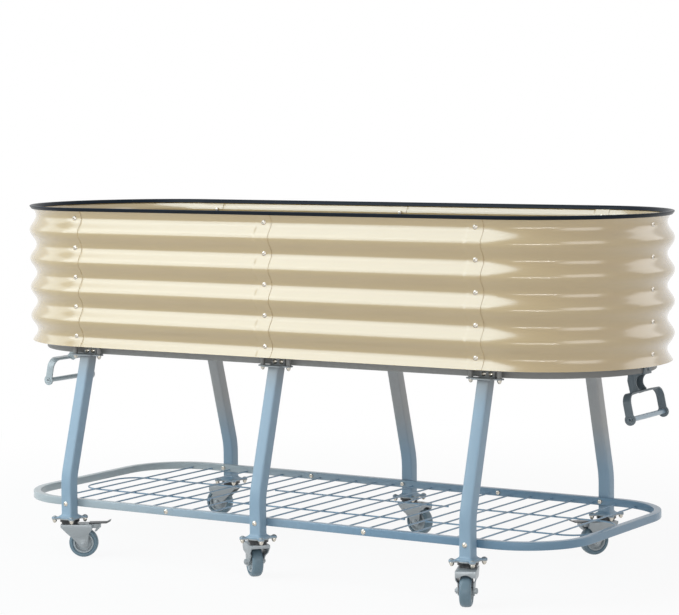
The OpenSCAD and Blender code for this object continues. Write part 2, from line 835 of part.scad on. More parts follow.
// Puts a caster's own shape, drawn with its wheel towards +X, under leg i
module at_caster(i) {
  translate([LEG_X[i % 3], i < 3 ? -foot_span : foot_span, 0]) rotate(caster_turn[i]) children();
}

module caster_plates() {
  color(zinc)
    for (x = LEG_X, y = [-foot_span, foot_span])
      translate([x, y, 0]) {
        translate([0, 0, caster_height - caster_plate]) foot_plate(caster_plate);
        translate([0, 0, caster_height - caster_plate - race_h]) cylinder(r = race_r, h = race_h);
        translate([0, 0, crown_top - fork_gauge - rivet_h])
          cylinder(
            r = kingpin_r,
            h = fork_drop + fork_gauge + rivet_h - caster_plate - race_h + kingpin_seat
          );
        translate([0, 0, crown_top - fork_gauge - loose - rivet_h]) cylinder(r = rivet_r, h = rivet_h);
      }
}

module caster_fasteners() {
  color(cream)
    for (x = LEG_X, y = [-foot_span, foot_span], dx = [-1, 1], dy = [-1, 1])
      translate([x + dx * foot_bolt_pitch / 2, y + dy * foot_bolt_pitch / 2, 0]) {
        translate([0, 0, foot_top]) rotate([0, -90, 0]) bolt(plate + caster_plate + nut_h + bolt_end);
        translate([0, 0, caster_height - caster_plate]) rotate([0, -90, 0]) nut();
      }
}

// Side outline of the fork as (X, Z)
module fork_outline() {
  polygon([
    [crown_back, crown_top], [crown_front, crown_top], [crown_front, crown_top - 14], [trail + 15, wheel_r + 24.5],
    [trail + axle_boss_r, wheel_r], [trail, wheel_r], [trail - 10.5, wheel_r - 4.5], [trail - 27, wheel_r + 12.5],
    [crown_back, crown_top - 6]
  ]);
  translate([trail, wheel_r]) circle(r = axle_boss_r);
}

// Section of the fork as (Y, Z): a crown with two cheeks that step in to the axle
module fork_section() {
  difference() {
    polygon([
      [-crown_half, crown_top], [-crown_half, cheek_turn_z + 4],
      [-cheek_half, cheek_turn_z - 4], [-cheek_half, 0],
      [cheek_half, 0], [cheek_half, cheek_turn_z - 4], [crown_half, cheek_turn_z + 4], [crown_half, crown_top]
    ]);
    polygon([
      [fork_gauge - crown_half, crown_top - fork_gauge], [fork_gauge - crown_half, cheek_turn_z + 5],
      [-cheek_in, cheek_turn_z - 3], [-cheek_in, -1], [cheek_in, -1], [cheek_in, cheek_turn_z - 3],
      [crown_half - fork_gauge, cheek_turn_z + 5], [crown_half - fork_gauge, crown_top - fork_gauge]
    ]);
  }
}

module fork_skirt(x) {
  difference() {
    translate([x, -crown_half, crown_top - crown_skirt]) cube([fork_gauge, 2 * crown_half, crown_skirt]);
    translate([x - 1, 0, crown_top - crown_skirt + arch_rise - arch_r])
      rotate([0, 90, 0]) cylinder(r = arch_r, h = fork_gauge + 2);
  }
}

module fork(braked) {
  difference() {
    union() {
      intersection() {
        run_y(-crown_half, crown_half) fork_outline();
        run_x(crown_back - 1, crown_front + 1) fork_section();
      }
      fork_skirt(crown_front - fork_gauge);
      intersection() {
        fork_skirt(crown_back);
        run_y(-crown_half, crown_half) fork_outline();
      }
      translate([0, 0, crown_top]) cylinder(r = lower_race_r, h = fork_drop - caster_plate - race_h - race_gap);
      translate([trail, -axle_half, wheel_r]) rotate([-90, 0, 0]) cylinder(r = axle_r, h = 2 * axle_half);
      translate([trail, -cheek_half - axle_head_h, wheel_r])
        rotate([-90, 0, 0]) cylinder(r = axle_hex_r, h = axle_head_h, $fn = 6);
      translate([trail, cheek_half, wheel_r]) rotate([-90, 0, 0])
        cylinder(r = axle_hex_r, h = axle_nut_h, $fn = 6);
      if (braked)
        for (y = [-ear_in - ear_gauge, ear_in])
          run_y(y, y + ear_gauge) {
            polygon([
              [crown_front - 1, crown_top], [crown_front - 1, crown_top - 10],
              [pedal_pin[0], pedal_pin[1] - 5], [pedal_pin[0] + 5, pedal_pin[1]], [pedal_pin[0] + 4, crown_top]
            ]);
          }
    }
    translate([0, 0, crown_top - 10]) cylinder(r = kingpin_r + fit, h = 30);
    if (braked)
      translate([pedal_pin[0], -crown_half, pedal_pin[1]])
        rotate([-90, 0, 0]) cylinder(r = pedal_pin_r + fit, h = 2 * crown_half, $fn = 32);
  }
}

module hub() {
  boss = cheek_in - 0.5;
  translate([trail, 0, wheel_r])
    rotate([90, 0, 0])
      rotate_extrude()
        polygon([
          [axle_r + fit, -boss], [9, -boss], [9.5, -6], [hub_r - 5, -5], [hub_r - 4, -tyre_width / 2 + 1.5],
          [hub_r, -tyre_width / 2 + 1.5], [hub_r, tyre_width / 2 - 1.5], [hub_r - 4, tyre_width / 2 - 1.5],
          [hub_r - 5, 5], [9.5, 6], [9, boss], [axle_r + fit, boss]
        ]);
}

module tyre() {
  shoulder = 5;
  translate([trail, 0, wheel_r])
    rotate([90, 0, 0])
      rotate_extrude($fn = 96)
        union() {
          translate([hub_r + fit, -tyre_width / 2]) square([wheel_r - shoulder - hub_r - fit, tyre_width]);
          translate([hub_r + fit, shoulder - tyre_width / 2])
            square([wheel_r - hub_r - fit, tyre_width - 2 * shoulder]);
          for (side = [-1, 1])
            translate([wheel_r - shoulder, side * (tyre_width / 2 - shoulder)]) circle(r = shoulder, $fn = 32);
        }
}

module pedal() {
  run_y(-pedal_half, pedal_half)
    polygon([
      [pedal_start, pedal_z], [pedal_tip[0] - 10, pedal_z],
      [pedal_tip[0], pedal_tip[1] - pedal_gauge], pedal_tip,
      [pedal_tip[0] - 11, pedal_z + pedal_gauge], [pedal_start, pedal_z + pedal_gauge]
    ]);
  flange_in = ear_in + ear_gauge + 0.5;
  for (y = [-flange_in - pedal_gauge, flange_in])
    run_y(y, y + pedal_gauge)
      polygon([
        [trail + 25, pedal_z + 1], [trail + 25, pedal_pin[1] - 4], [pedal_pin[0] + 4, pedal_pin[1] - 5],
        [pedal_pin[0] + 12, pedal_z], [pedal_pin[0] + 12, pedal_z + 1]
      ]);
  run_y(-lug_half, lug_half)
    polygon(concat([[LUG_TEETH[0][0], pedal_z + 1]], LUG_TEETH, [[lug_front, pedal_z + 1]]));
  translate([pedal_pin[0], -flange_in - pedal_gauge, pedal_pin[1]])
    rotate([-90, 0, 0]) cylinder(r = pedal_pin_r, h = 2 * (flange_in + pedal_gauge), $fn = 32);
}

module across() {
  rotate(180) children();
}

color(cream) wall_sheet(1);  // wall_front_left
color(cream) wall_sheet(2);  // wall_front_right
color(cream) wall_sheet(6);  // wall_back_left
color(cream) wall_sheet(5);  // wall_back_right
color(cream) wall_sheet(0);  // corner_front_left
color(cream) wall_sheet(3);  // corner_front_right
color(cream) wall_sheet(7);  // corner_back_left
color(cream) wall_sheet(4);  // corner_back_right
rim_trim();
seam_fasteners();
color(steel) plugged_rail();  // base_rail_front_left
color(steel) socket_rail();  // base_rail_front_right
color(steel) across() socket_rail();  // base_rail_back_left
color(steel) across() plugged_rail();  // base_rail_back_right
color(steel) across() base_bow();  // base_bow_left
color(steel) base_bow();  // base_bow_right
cross_ties();
color(steel) across() floor_tray();  // floor_tray_left
color(steel) floor_tray();  // floor_tray_right
color(steel) translate([-leg_pitch, 0, 0]) mirror([0, 1, 0]) leg();  // leg_front_left
color(steel) mirror([0, 1, 0]) leg();  // leg_front_middle
color(steel) translate([leg_pitch, 0, 0]) mirror([0, 1, 0]) leg();  // leg_front_right
color(steel) translate([-leg_pitch, 0, 0]) leg();  // leg_back_left
color(steel) leg();  // leg_back_middle
color(steel) translate([leg_pitch, 0, 0]) leg();  // leg_back_right
head_fasteners();
color(steel) across() shelf_bow();  // shelf_bow_left
color(steel) shelf_bow();  // shelf_bow_right
color(steel) shelf_rail();  // shelf_rail_front
color(steel) across() shelf_rail();  // shelf_rail_back
color(steel) across() shelf_mesh_end();  // shelf_mesh_left
shelf_mesh_middle();
color(steel) shelf_mesh_end();  // shelf_mesh_right
shelf_fasteners();
across() handle();  // handle_left
handle();  // handle_right
across() grip();  // grip_left
grip();  // grip_right
caster_plates();
caster_fasteners();
color(zinc) at_caster(0) fork(true);  // fork_front_left
color(zinc) at_caster(1) fork(false);  // fork_front_middle
color(zinc) at_caster(2) fork(false);  // fork_front_right
color(zinc) at_caster(3) fork(false);  // fork_back_left
color(zinc) at_caster(4) fork(false);  // fork_back_middle
color(zinc) at_caster(5) fork(true);  // fork_back_right
color(zinc) at_caster(0) hub();  // hub_front_left
color(zinc) at_caster(1) hub();  // hub_front_middle
color(zinc) at_caster(2) hub();  // hub_front_right
color(zinc) at_caster(3) hub();  // hub_back_left
color(zinc) at_caster(4) hub();  // hub_back_middle
color(zinc) at_caster(5) hub();  // hub_back_right
color(rubber) at_caster(0) tyre();  // tyre_front_left
color(rubber) at_caster(1) tyre();  // tyre_front_middle
color(rubber) at_caster(2) tyre();  // tyre_front_right
color(rubber) at_caster(3) tyre();  // tyre_back_left
color(rubber) at_caster(4) tyre();  // tyre_back_middle
color(rubber) at_caster(5) tyre();  // tyre_back_right
color(zinc) at_caster(0) pedal();  // pedal_front_left
color(zinc) at_caster(5) pedal();  // pedal_back_right
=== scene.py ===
import json
from math import atan, ceil, cos, pi, radians, sin, sqrt, tan

import bmesh
import bpy
from bpy.props import FloatProperty, FloatVectorProperty, PointerProperty
from bpy.types import Operator, Panel, PropertyGroup
from mathutils import Matrix, Vector

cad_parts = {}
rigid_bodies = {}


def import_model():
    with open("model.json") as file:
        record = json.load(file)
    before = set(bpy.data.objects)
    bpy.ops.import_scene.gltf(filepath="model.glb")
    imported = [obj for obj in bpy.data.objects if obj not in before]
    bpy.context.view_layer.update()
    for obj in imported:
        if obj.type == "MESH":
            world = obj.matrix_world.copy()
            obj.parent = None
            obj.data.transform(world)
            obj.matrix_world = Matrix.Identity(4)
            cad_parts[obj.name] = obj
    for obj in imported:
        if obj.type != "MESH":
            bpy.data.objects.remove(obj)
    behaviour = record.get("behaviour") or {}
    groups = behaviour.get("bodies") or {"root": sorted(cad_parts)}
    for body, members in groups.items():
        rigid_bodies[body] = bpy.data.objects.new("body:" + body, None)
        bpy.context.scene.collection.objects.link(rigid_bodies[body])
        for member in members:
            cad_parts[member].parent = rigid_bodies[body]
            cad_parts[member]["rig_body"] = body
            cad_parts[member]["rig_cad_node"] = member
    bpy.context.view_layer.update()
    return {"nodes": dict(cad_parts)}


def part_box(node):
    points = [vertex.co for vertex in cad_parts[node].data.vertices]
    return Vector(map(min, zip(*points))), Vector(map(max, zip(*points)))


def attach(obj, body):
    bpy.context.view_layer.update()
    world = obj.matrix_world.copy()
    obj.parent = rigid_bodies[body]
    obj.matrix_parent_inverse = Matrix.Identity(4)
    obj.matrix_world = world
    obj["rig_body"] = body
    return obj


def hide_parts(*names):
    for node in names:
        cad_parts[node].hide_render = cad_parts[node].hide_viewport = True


bl_info = {
    "name": "Elevated Planter",
    "version": (1, 0, 0),
    "blender": (4, 5, 0),
    "location": "View3D > Sidebar > Planter",
    "description": "Models a corrugated planter bed on legs, shelf and casters round its packed frame",
    "category": "Add Mesh",
}

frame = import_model()

WALL_LOW, WALL_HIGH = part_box("wall_front_left")
CORNER_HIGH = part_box("corner_front_right")[1]
TRIM_LOW, TRIM_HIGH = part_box("rim_trim")
RAIL_LOW, RAIL_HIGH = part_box("base_rail_front_left")
PLATE_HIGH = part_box("caster_plates")[1]
SHELF_LOW, SHELF_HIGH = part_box("shelf_rail_front")
WALL_MIDDLE, SHELF_MIDDLE = (WALL_LOW.z + WALL_HIGH.z) / 2, (SHELF_LOW.z + SHELF_HIGH.z) / 2
END_X = 0.605
PLATE = 0.003  # thickness of the foot, head and caster plates
# Heights of the band of painted shade in the race gap between a caster's plate and its fork
RACE_HIGH, RACE_LOW = PLATE_HIGH.z - PLATE - 0.0002, PLATE_HIGH.z - 0.0158
TRAY_LIP = 0.28255  # distance from a round end's middle to the lip behind the lowest bolts
FLANGE_IN, FLANGE_OUT = 0.26215, 0.26515  # faces of the flange behind the frame tube
GAP, SHEET_GAP = 0.0001, 0.00015  # hair gaps that keep neighbouring pieces apart

X, Y, Z = Vector((1, 0, 0)), Vector((0, 1, 0)), Vector((0, 0, 1))
# Places of the legs and casters in plan, with the way that each caster points
PLACES = {(-1, -1): "front_left", (0, -1): "front_middle", (1, -1): "front_right",
          (-1, 1): "back_left", (0, 1): "back_middle", (1, 1): "back_right"}
CASTER_TURN = {"front_left": 33, "front_middle": 140, "front_right": -67,
               "back_left": -170, "back_middle": -8, "back_right": -127}


def length(name, default, description):
    return FloatProperty(name=name, default=default, description=description, subtype="DISTANCE", unit="LENGTH")


def colour(name, default, description):
    return FloatVectorProperty(name=name, default=default, description=description, subtype="COLOR",
                               size=3, min=0, max=1)


class PlanterSizes(PropertyGroup):
    ridge_r: length("Ridge radius", CORNER_HIGH.x - END_X, "Radius of the round ends over the ridges")
    end_x: length("End centre", END_X, "Distance from the middle to the centre of a round end")
    wave_pitch: length("Corrugation pitch", 0.076, "Distance from one ridge to the next")
    wave_depth: length("Corrugation depth", 0.0175, "Depth from a ridge to a valley")
    sheet: length("Sheet thickness", 0.001, "Thickness of the wall sheets")
    lap_step: length("Lap step", 0.0011, "Rise of a sheet over the one that it laps")
    lap_width: length("Lap width", 0.040, "Distance that one sheet laps over the next")
    bolt_inset: length("Bolt inset", 0.022, "Distance from a bolt column to the edge of the sheet on top")
    corner_straight: length("Corner straight", 0.015, "Straight part of a corner sheet")
    frame_tube: length("Frame tube", 0.025, "Outer size of the base frame tube")
    frame_r: length("Frame radius", 0.2495, "Radius of the base frame's ends along the middle of its tube")
    leg_tube: length("Leg tube", 0.032, "Outer size of the leg tube")
    leg_pitch: length("Leg pitch", 0.5855, "Distance from the middle leg to an end leg")
    foot_span: length("Foot span", 0.360, "Distance from the centre line to a foot")
    head_span: length("Head span", 0.271, "Distance from the centre line to the top of a leg")
    bend_height: length("Bend height", 0.098, "Height of the bend above the foot plate")
    bend_radius: length("Bend radius", 0.170, "Radius of the bend along the middle of the tube")
    ear_x: length("Ear distance", 0.038, "Distance from a leg's middle to the bolt of a bracket ear")
    ear_y: length("Ear place", 0.27585, "Distance from the centre line to the bolt of a bracket ear")
    shelf_tube: length("Shelf tube", 0.019, "Outer size of the shelf tube")
    shelf_end: length("Shelf end", 0.810, "Distance from the middle to the end of the shelf")
    shelf_corner: length("Shelf corner", 0.175, "Outer corner radius of the shelf")
    joint_x: length("Shelf joint", 0.291, "Distance from the middle to the bolt of a shelf joint")
    wire: length("Wire", 0.004, "Diameter of the shelf wires")
    wire_pitch: length("Wire pitch", 0.0585, "Distance between cross wires in the middle of the shelf")
    end_pitch: length("End wire pitch", 0.060, "Distance between cross wires at the ends of the shelf")
    long_wire_y: length("Long wire", 0.108, "Distance from the centre line to a lengthwise wire")
    wheel: length("Wheel diameter", 0.075, "Outer diameter of the tyres")
    tyre_width: length("Tyre width", 0.028, "Width of the tyres")
    hub: length("Hub diameter", 0.052, "Diameter of the hub inside the tyre")
    trail: length("Trail", 0.035, "Distance from a swivel axis to the axle")


class PlanterColours(PropertyGroup):
    wall: colour("Wall", (0.50, 0.36, 0.158), "Paint of the wall sheets")
    trim: colour("Trim", (0.003, 0.009, 0.018), "Edge trim")
    coat: colour("Powder coat", (0.275, 0.40, 0.51), "Lower part of the legs, and the cross ties")
    # Painted shade: a darker, greyer copy of the powder coat for the base frame and the tops of the front legs,
    # which lie in the shadow under the bed
    shade: colour("Base shade", (0.25, 0.245, 0.235), "Base frame and upper end of the front legs")
    # Painted light: a lighter copy of the powder coat for the left handle and the left end of the shelf, which
    # stand in the light
    pale: colour("Pale coat", (0.43, 0.49, 0.51), "Left handle and left end of the shelf")
    # Painted shade: a neutral copy of the powder coat for the upper part of the back legs, which the bed shades
    back_leg_shade: colour("Back legs", (0.40, 0.40, 0.395), "Upper part of the back legs")
    shelf: colour("Shelf coat", (0.14, 0.255, 0.365), "Frame and wires of the shelf")
    # Painted light: a lighter copy of the powder coat for the right handle bar, standing for its bright
    # highlights
    grip: colour("Grip coat", (0.34, 0.45, 0.54), "Right grip bar")
    # Painted shade: a darker copy of the powder coat for the right handle bracket, which lies in shadow
    bracket: colour("Bracket coat", (0.115, 0.145, 0.165), "Right handle bracket")
    tray: colour("Tray", (0.42, 0.45, 0.46), "Floor trays")
    bolt: colour("Fasteners", (0.62, 0.58, 0.51), "Bolts and nuts")
    zinc: colour("Zinc", (0.37, 0.40, 0.415), "Caster forks and plates")
    hub: colour("Hub", (0.42, 0.46, 0.48), "Wheel hubs")
    tyre: colour("Tyre", (0.16, 0.235, 0.285), "Tyres")


def sizes():
    return bpy.context.scene.planter_sizes


def colours():
    return bpy.context.scene.planter_colours


# Places along the plan of the bed: a station is a distance along the ridges, counter-clockwise from the
# middle of the front
def arc_run():
    return pi * sizes().ridge_r


def facing(s):
    """Angle of the way outward at a station."""
    e, run = sizes().end_x, arc_run()
    bent = min(s + e, 0) + min(max(s - e, 0), run) + max(s - 3 * e - run, 0)
    return bent / sizes().ridge_r - pi / 2


def centre_x(s):
    """Place along the bed's middle line that a station faces away from."""
    e = sizes().end_x
    return max(-e, min(s, e) - max(s - e - arc_run(), 0))


def place(s, r, z):
    turn = facing(s)
    return Vector((centre_x(s) + r * cos(turn), r * sin(turn), z))


def seams():
    e, run, side = sizes().end_x, arc_run(), sizes().end_x - sizes().corner_straight
    return [-e - run / 2, -side, 0, side, e + run / 2, 2 * e + run - side, 2 * e + run,
            2 * e + run + side, 3 * e + 1.5 * run]


# Levels of the upper and the lower sheet at each seam, as in the frame
LAPS = [(0, -1), (-1, -2), (1, 0), (1, 0)] * 2 + [(0, -1)]
MAIN_LEVEL = [-1, 0, 0, 0] * 2
SHEETS = ["corner_front_left", "wall_front_left", "wall_front_right", "corner_front_right",
          "corner_back_right", "wall_back_right", "wall_back_left", "corner_back_left"]


def wave(z):
    return -sizes().wave_depth * (1 + cos(2 * pi * (z - WALL_MIDDLE) / sizes().wave_pitch)) / 2


def valleys():
    return [WALL_MIDDLE + i * sizes().wave_pitch for i in range(-2, 3)]


# Hand moves shared by the pieces
def clear_selection():
    if bpy.context.mode != "OBJECT":
        bpy.ops.object.mode_set(mode="OBJECT")
    bpy.ops.object.select_all(action="DESELECT")


def choose(piece):
    clear_selection()
    piece.select_set(True)
    bpy.context.view_layer.objects.active = piece


def outline(points, closed=True):
    """A new mesh whose vertices follow the points, selected in edit mode."""
    clear_selection()
    bpy.ops.mesh.primitive_circle_add(vertices=len(points), radius=0.01, location=(0, 0, 0),
                                      fill_type="NOTHING")
    piece = bpy.context.active_object
    for vertex, point in zip(piece.data.vertices, points):
        vertex.co = point
    bpy.ops.object.mode_set(mode="EDIT")
    if not closed:
        mesh = bmesh.from_edit_mesh(piece.data)
        mesh.verts.ensure_lookup_table()
        mesh.edges.remove(mesh.edges.get((mesh.verts[0], mesh.verts[len(points) - 1])))
        bmesh.update_edit_mesh(piece.data)
    grab_all()
    return piece


def push(offset):
    bpy.ops.mesh.extrude_region_move(TRANSFORM_OT_translate={"value": tuple(offset)})


def swell(factor, centre):
    bpy.ops.transform.resize(value=(factor, factor, 1), center_override=tuple(centre))


def turn(angle, centre, axis, steps):
    """Spins the selection counter-clockwise about the axis; the operator's own positive way is clockwise."""
    bpy.ops.mesh.spin(steps=steps, angle=-angle, center=tuple(centre), axis=tuple(axis))


def grab_all():
    bpy.ops.mesh.select_all(action="SELECT")


def merge():
    """Merges the vertices that lie on one another and leaves everything selected."""
    grab_all()
    bpy.ops.mesh.remove_doubles(threshold=0.00001)
    grab_all()


def close_ends(fill=True):
    """Merges a swept mesh, fills its open ends and goes back to object mode."""
    merge()
    if fill:
        bpy.ops.mesh.fill_holes(sides=0)
        grab_all()
    bpy.ops.mesh.normals_make_consistent(inside=False)
    bpy.ops.object.mode_set(mode="OBJECT")


def modifier(piece, kind, **settings):
    choose(piece)
    made = piece.modifiers.new(kind.lower(), kind)
    for key, value in settings.items():
        setattr(made, key, value)
    bpy.ops.object.modifier_apply(modifier=made.name)


def soften_edges(piece, width):
    modifier(piece, "BEVEL", width=width, segments=2, limit_method="ANGLE", angle_limit=radians(35),
             use_clamp_overlap=True, harden_normals=False)


def join(pieces):
    choose(pieces[0])
    for piece in pieces:
        piece.select_set(True)
    if len(pieces) > 1:
        bpy.ops.object.join()
    return pieces[0]


def placed_copy(model, matrix):
    """Copy of a model with its own mesh, moved to its place."""
    copy = model.copy()
    copy.data = model.data.copy()
    copy.data.transform(matrix)
    if matrix.determinant() < 0:
        copy.data.flip_normals()
    bpy.context.collection.objects.link(copy)
    return copy


def copies(model, places):
    """Copies of a model at the places; the model itself is used up."""
    made = [placed_copy(model, matrix) for matrix in places]
    bpy.data.objects.remove(model)
    return made


def settle(piece, name, look, nodes, slot=None, body="planter", limit=35):
    """Names a finished piece, smooths it, gives it a finish, ties it to its body and hides its nodes; the slot
    is not used.
    """
    slot = slot or look
    choose(piece)
    bpy.ops.object.shade_smooth_by_angle(angle=radians(limit))
    piece.name = name
    piece.data.name = name
    piece.data.materials.clear()
    piece.data.materials.append(finish(look))
    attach(piece, body)
    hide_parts(*nodes)


def settle_tube(piece, node, look):
    """Closes a swept tube and settles it in place of its frame node."""
    close_ends()
    settle(piece, node + "_tube", look, [node], "powder_coat")


def hairpin(side, run, x, y, steps, back):
    """Sweeps the selection outward, round two corners about (x, -y) and (x, y), and back."""
    push((side * run, 0, 0))
    turn(pi / 2, (side * x, -side * y, 0), Z, steps)
    push((0, side * 2 * y, 0))
    turn(pi / 2, (side * x, side * y, 0), Z, steps)
    push((-side * back, 0, 0))


def lathe(points, steps, closed=False):
    """Turns (x, r) points about the X axis."""
    piece = outline([(x, 0, r) for x, r in points], closed)
    turn(2 * pi, (0, 0, 0), X, steps)
    close_ends()
    return piece


def rounded_square(size, corner, steps):
    """Points of a square with round corners, as (a, b) pairs."""
    inner = size / 2 - corner
    points = []
    for quarter, (a, b) in enumerate(((1, 1), (-1, 1), (-1, -1), (1, -1))):
        points += arc(a * inner, b * inner, corner, 90 * quarter, 90 * quarter + 90, steps)
    return points


def arc(a, b, r, start, end, steps):
    """Points on a circle, with angles in degrees."""
    angles = [radians(start + (end - start) * k / steps) for k in range(steps + 1)]
    return [(a + r * cos(t), b + r * sin(t)) for t in angles]


def slab(points, low, high, width=0.0004):
    """Plate with an outline in plan between two heights, with softened edges."""
    piece = outline([(x, y, low) for x, y in points])
    bpy.ops.mesh.edge_face_add()
    push((0, 0, high - low))
    close_ends()
    soften_edges(piece, width)
    return piece


def softened_copy(node, width):
    """Copy of a frame node with merged vertices and softened edges."""
    piece = frame["nodes"][node].copy()
    piece.data = piece.data.copy()
    piece.parent = None
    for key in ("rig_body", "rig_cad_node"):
        if key in piece:
            del piece[key]
    bpy.context.collection.objects.link(piece)
    choose(piece)
    bpy.ops.object.mode_set(mode="EDIT")
    merge()
    bpy.ops.mesh.dissolve_limited(angle_limit=radians(1))
    bpy.ops.object.mode_set(mode="OBJECT")
    soften_edges(piece, width)
    return piece


# Finishes
def feed(tree, taker, inputs):
    """Sets a node's inputs to values, or links them where a socket is given."""
    for key, value in inputs.items():
        if isinstance(value, bpy.types.NodeSocket):
            tree.links.new(value, taker.inputs[key])
        else:
            taker.inputs[key].default_value = value


def shader_node(tree, kind, inputs=None, **settings):
    """Outputs of a new shader node with its settings and inputs."""
    made = tree.nodes.new("ShaderNode" + kind)
    for key, value in settings.items():
        setattr(made, key, value)
    feed(tree, made, inputs or {})
    return made.outputs


def new_group(name, inputs, outputs):
    """A node group, what its input node gives and its output node; sockets are names with kinds."""
    group = bpy.data.node_groups.new(name, "ShaderNodeTree")
    for way, sockets in (("INPUT", inputs), ("OUTPUT", outputs)):
        for label, kind in sockets.items():
            group.interface.new_socket(label, in_out=way, socket_type="NodeSocket" + kind)
    return group, group.nodes.new("NodeGroupInput").outputs, group.nodes.new("NodeGroupOutput")


def noise(tree, vector, scale, detail):
    return shader_node(tree, "TexNoise", {"Vector": vector, "Scale": scale, "Detail": detail})["Fac"]


def math(tree, kind, *values):
    return shader_node(tree, "Math", dict(enumerate(values)), operation=kind)[0]


def swing(tree, cloud, amount):
    """Noise moved round zero, as strong as the amount."""
    return math(tree, "MULTIPLY", math(tree, "SUBTRACT", cloud, 0.5), amount)


def ramp(tree, value, start, end, low=0.0, kind="SMOOTHSTEP"):
    """Rises from low to 1 while the value goes from start to end."""
    return shader_node(tree, "MapRange", {"Value": value, "From Min": start, "From Max": end, "To Min": low},
                       interpolation_type=kind)["Result"]


def mixed(tree, factor, low, high):
    return shader_node(tree, "Mix", {"Factor": factor, "A": low, "B": high}, data_type="RGBA")["Result"]


# Noise cells per metre of the colour drift, the uneven roughness and the lightened edge patches
DRIFT_SCALE, UNEVEN_SCALE, EDGE_PATCH_SCALE = 6.0, 14.0, 90.0
# Pointiness at which an edge starts to lighten, and at which it is fully lightened: partly the thinner coat on
# edges, partly a painted edge highlight
LIGHTENED_EDGE = (0.53, 0.62)
# Gain and lift that turn the coat colour into the lighter edge colour
EDGE_LIGHT_GAIN, EDGE_LIGHT_LIFT = 1.6, 0.08
COAT_ROUGHNESS, COAT_IOR, GRAIN_STRENGTH = 0.16, 1.7, 0.6
# Colour of the painted shade in the casters' race gap
RACE_SHADE_COLOUR = (0.035, 0.036, 0.038, 1)


def spread_group():
    """Colour that drifts a little over the surface."""
    group, given, result = new_group(
        "Colour drift", {"Vector": "Vector", "Colour": "Color", "Scale": "Float", "Amount": "Float"},
        {"Colour": "Color"})
    drift = swing(group, noise(group, given["Vector"], given["Scale"], 4), given["Amount"])
    hsv = shader_node(group, "HueSaturation", {
        "Value": math(group, "ADD", 1.0, drift), "Saturation": math(group, "SUBTRACT", 1.0, drift),
        "Color": given["Colour"]})
    feed(group, result, {"Colour": hsv["Color"]})


def grain_group():
    """Fine grain as a height and an uneven roughness."""
    group, given, result = new_group(
        "Coat grain", {"Vector": "Vector", "Scale": "Float", "Roughness": "Float", "Unevenness": "Float"},
        {"Height": "Float", "Roughness": "Float"})
    uneven = swing(group, noise(group, given["Vector"], UNEVEN_SCALE, 5), given["Unevenness"])
    feed(group, result, {"Height": noise(group, given["Vector"], given["Scale"], 2),
                         "Roughness": math(group, "ADD", given["Roughness"], uneven)})


def lightened_edge_group():
    """Mask of lightened edges, broken up by noise: partly the thinner coat on edges, partly a painted edge
    highlight.
    """
    group, given, result = new_group("Edge wear", {"Vector": "Vector", "Amount": "Float"}, {"Mask": "Float"})
    sharp = ramp(group, shader_node(group, "NewGeometry")["Pointiness"], *LIGHTENED_EDGE, kind="LINEAR")
    broken = math(group, "MULTIPLY", noise(group, given["Vector"], EDGE_PATCH_SCALE, 3), given["Amount"])
    feed(group, result, {"Mask": math(group, "MULTIPLY", sharp, broken)})


# What the powder coats share: metallic, specular level, grain scale, grain height, unevenness, drift, edge
# lightening
POWDER = (0.0, 0.5, 1100.0, 0.00006, 0.12, 0.07, 0.5)
# Each finish: colour, roughness, the seven values above in the same order, weight of the clear coat
FINISHES = {
    "wall_finish": ("wall", 0.25, 0.0, 1.0, 420.0, 0.00003, 0.06, 0.05, 0.0, 1.0),
    "edge_trim": ("trim", 0.30, 0.0, 0.12, 900.0, 0.00004, 0.12, 0.10, 0.0, 0.0),
    "powder_coat": ("coat", 0.42, *POWDER, 0.15),
    # Painted light and shade: the frame, leg, shelf, left handle, right handle bar and right bracket finishes
    # below use lit and shaded copies of the powder coat
    "frame_coat": ("shade", 0.45, 0.0, 0.4, 1100.0, 0.00006, 0.12, 0.07, 0.5, 0.0),
    "back_coat": ("back_leg_shade", 0.42, *POWDER, 0.1),
    "leg_coat": ("shade", 0.40, *POWDER, 0.1),
    "shelf_coat": ("shelf", 0.34, *POWDER, 0.3),
    "wire_coat": ("shelf", 0.34, *POWDER, 0.3),
    "pale_coat": ("pale", 0.30, 0.0, 0.5, 1100.0, 0.00004, 0.10, 0.05, 0.3, 0.4),
    "grip_coat": ("grip", 0.24, 0.0, 0.5, 1100.0, 0.00004, 0.10, 0.05, 0.0, 0.4),
    "bracket_coat": ("bracket", 0.40, *POWDER, 0.1),
    "tray": ("tray", 0.45, 0.6, 0.5, 300.0, 0.00004, 0.20, 0.12, 0.0, 0.0),
    "fastener": ("bolt", 0.24, 0.9, 0.5, 600.0, 0.00002, 0.12, 0.05, 0.0, 0.0),
    "caster_zinc": ("zinc", 0.36, 0.4, 0.5, 500.0, 0.00005, 0.20, 0.12, 0.4, 0.0),
    "hub": ("hub", 0.40, 0.0, 0.5, 700.0, 0.00004, 0.10, 0.06, 0.0, 0.0),
    "tyre": ("tyre", 0.40, 0.0, 0.5, 900.0, 0.00008, 0.15, 0.10, 0.0, 0.0),
}
# Finishes that turn from another colour into their own along an axis, between two places: painted shade on the
# upper legs and painted light on the shelf's left end
PAINTED_LIGHT_FADES = {
    "back_coat": ("coat", "Z", 0.20, 0.36),
    "leg_coat": ("coat", "Z", 0.43, 0.55),
    "shelf_coat": ("pale", "X", -0.75, 0.45),
}


def opaque(name):
    return tuple(getattr(colours(), name)) + (1,)


def place_on(tree, vector, axis):
    return shader_node(tree, "SeparateXYZ", {0: vector})[axis]


def faded(tree, vector, shade, other, axis, start, end):
    """Colour that turns from another one into the given one along an axis, as painted light and shade."""
    return mixed(tree, ramp(tree, place_on(tree, vector, axis), start, end), opaque(other), shade)


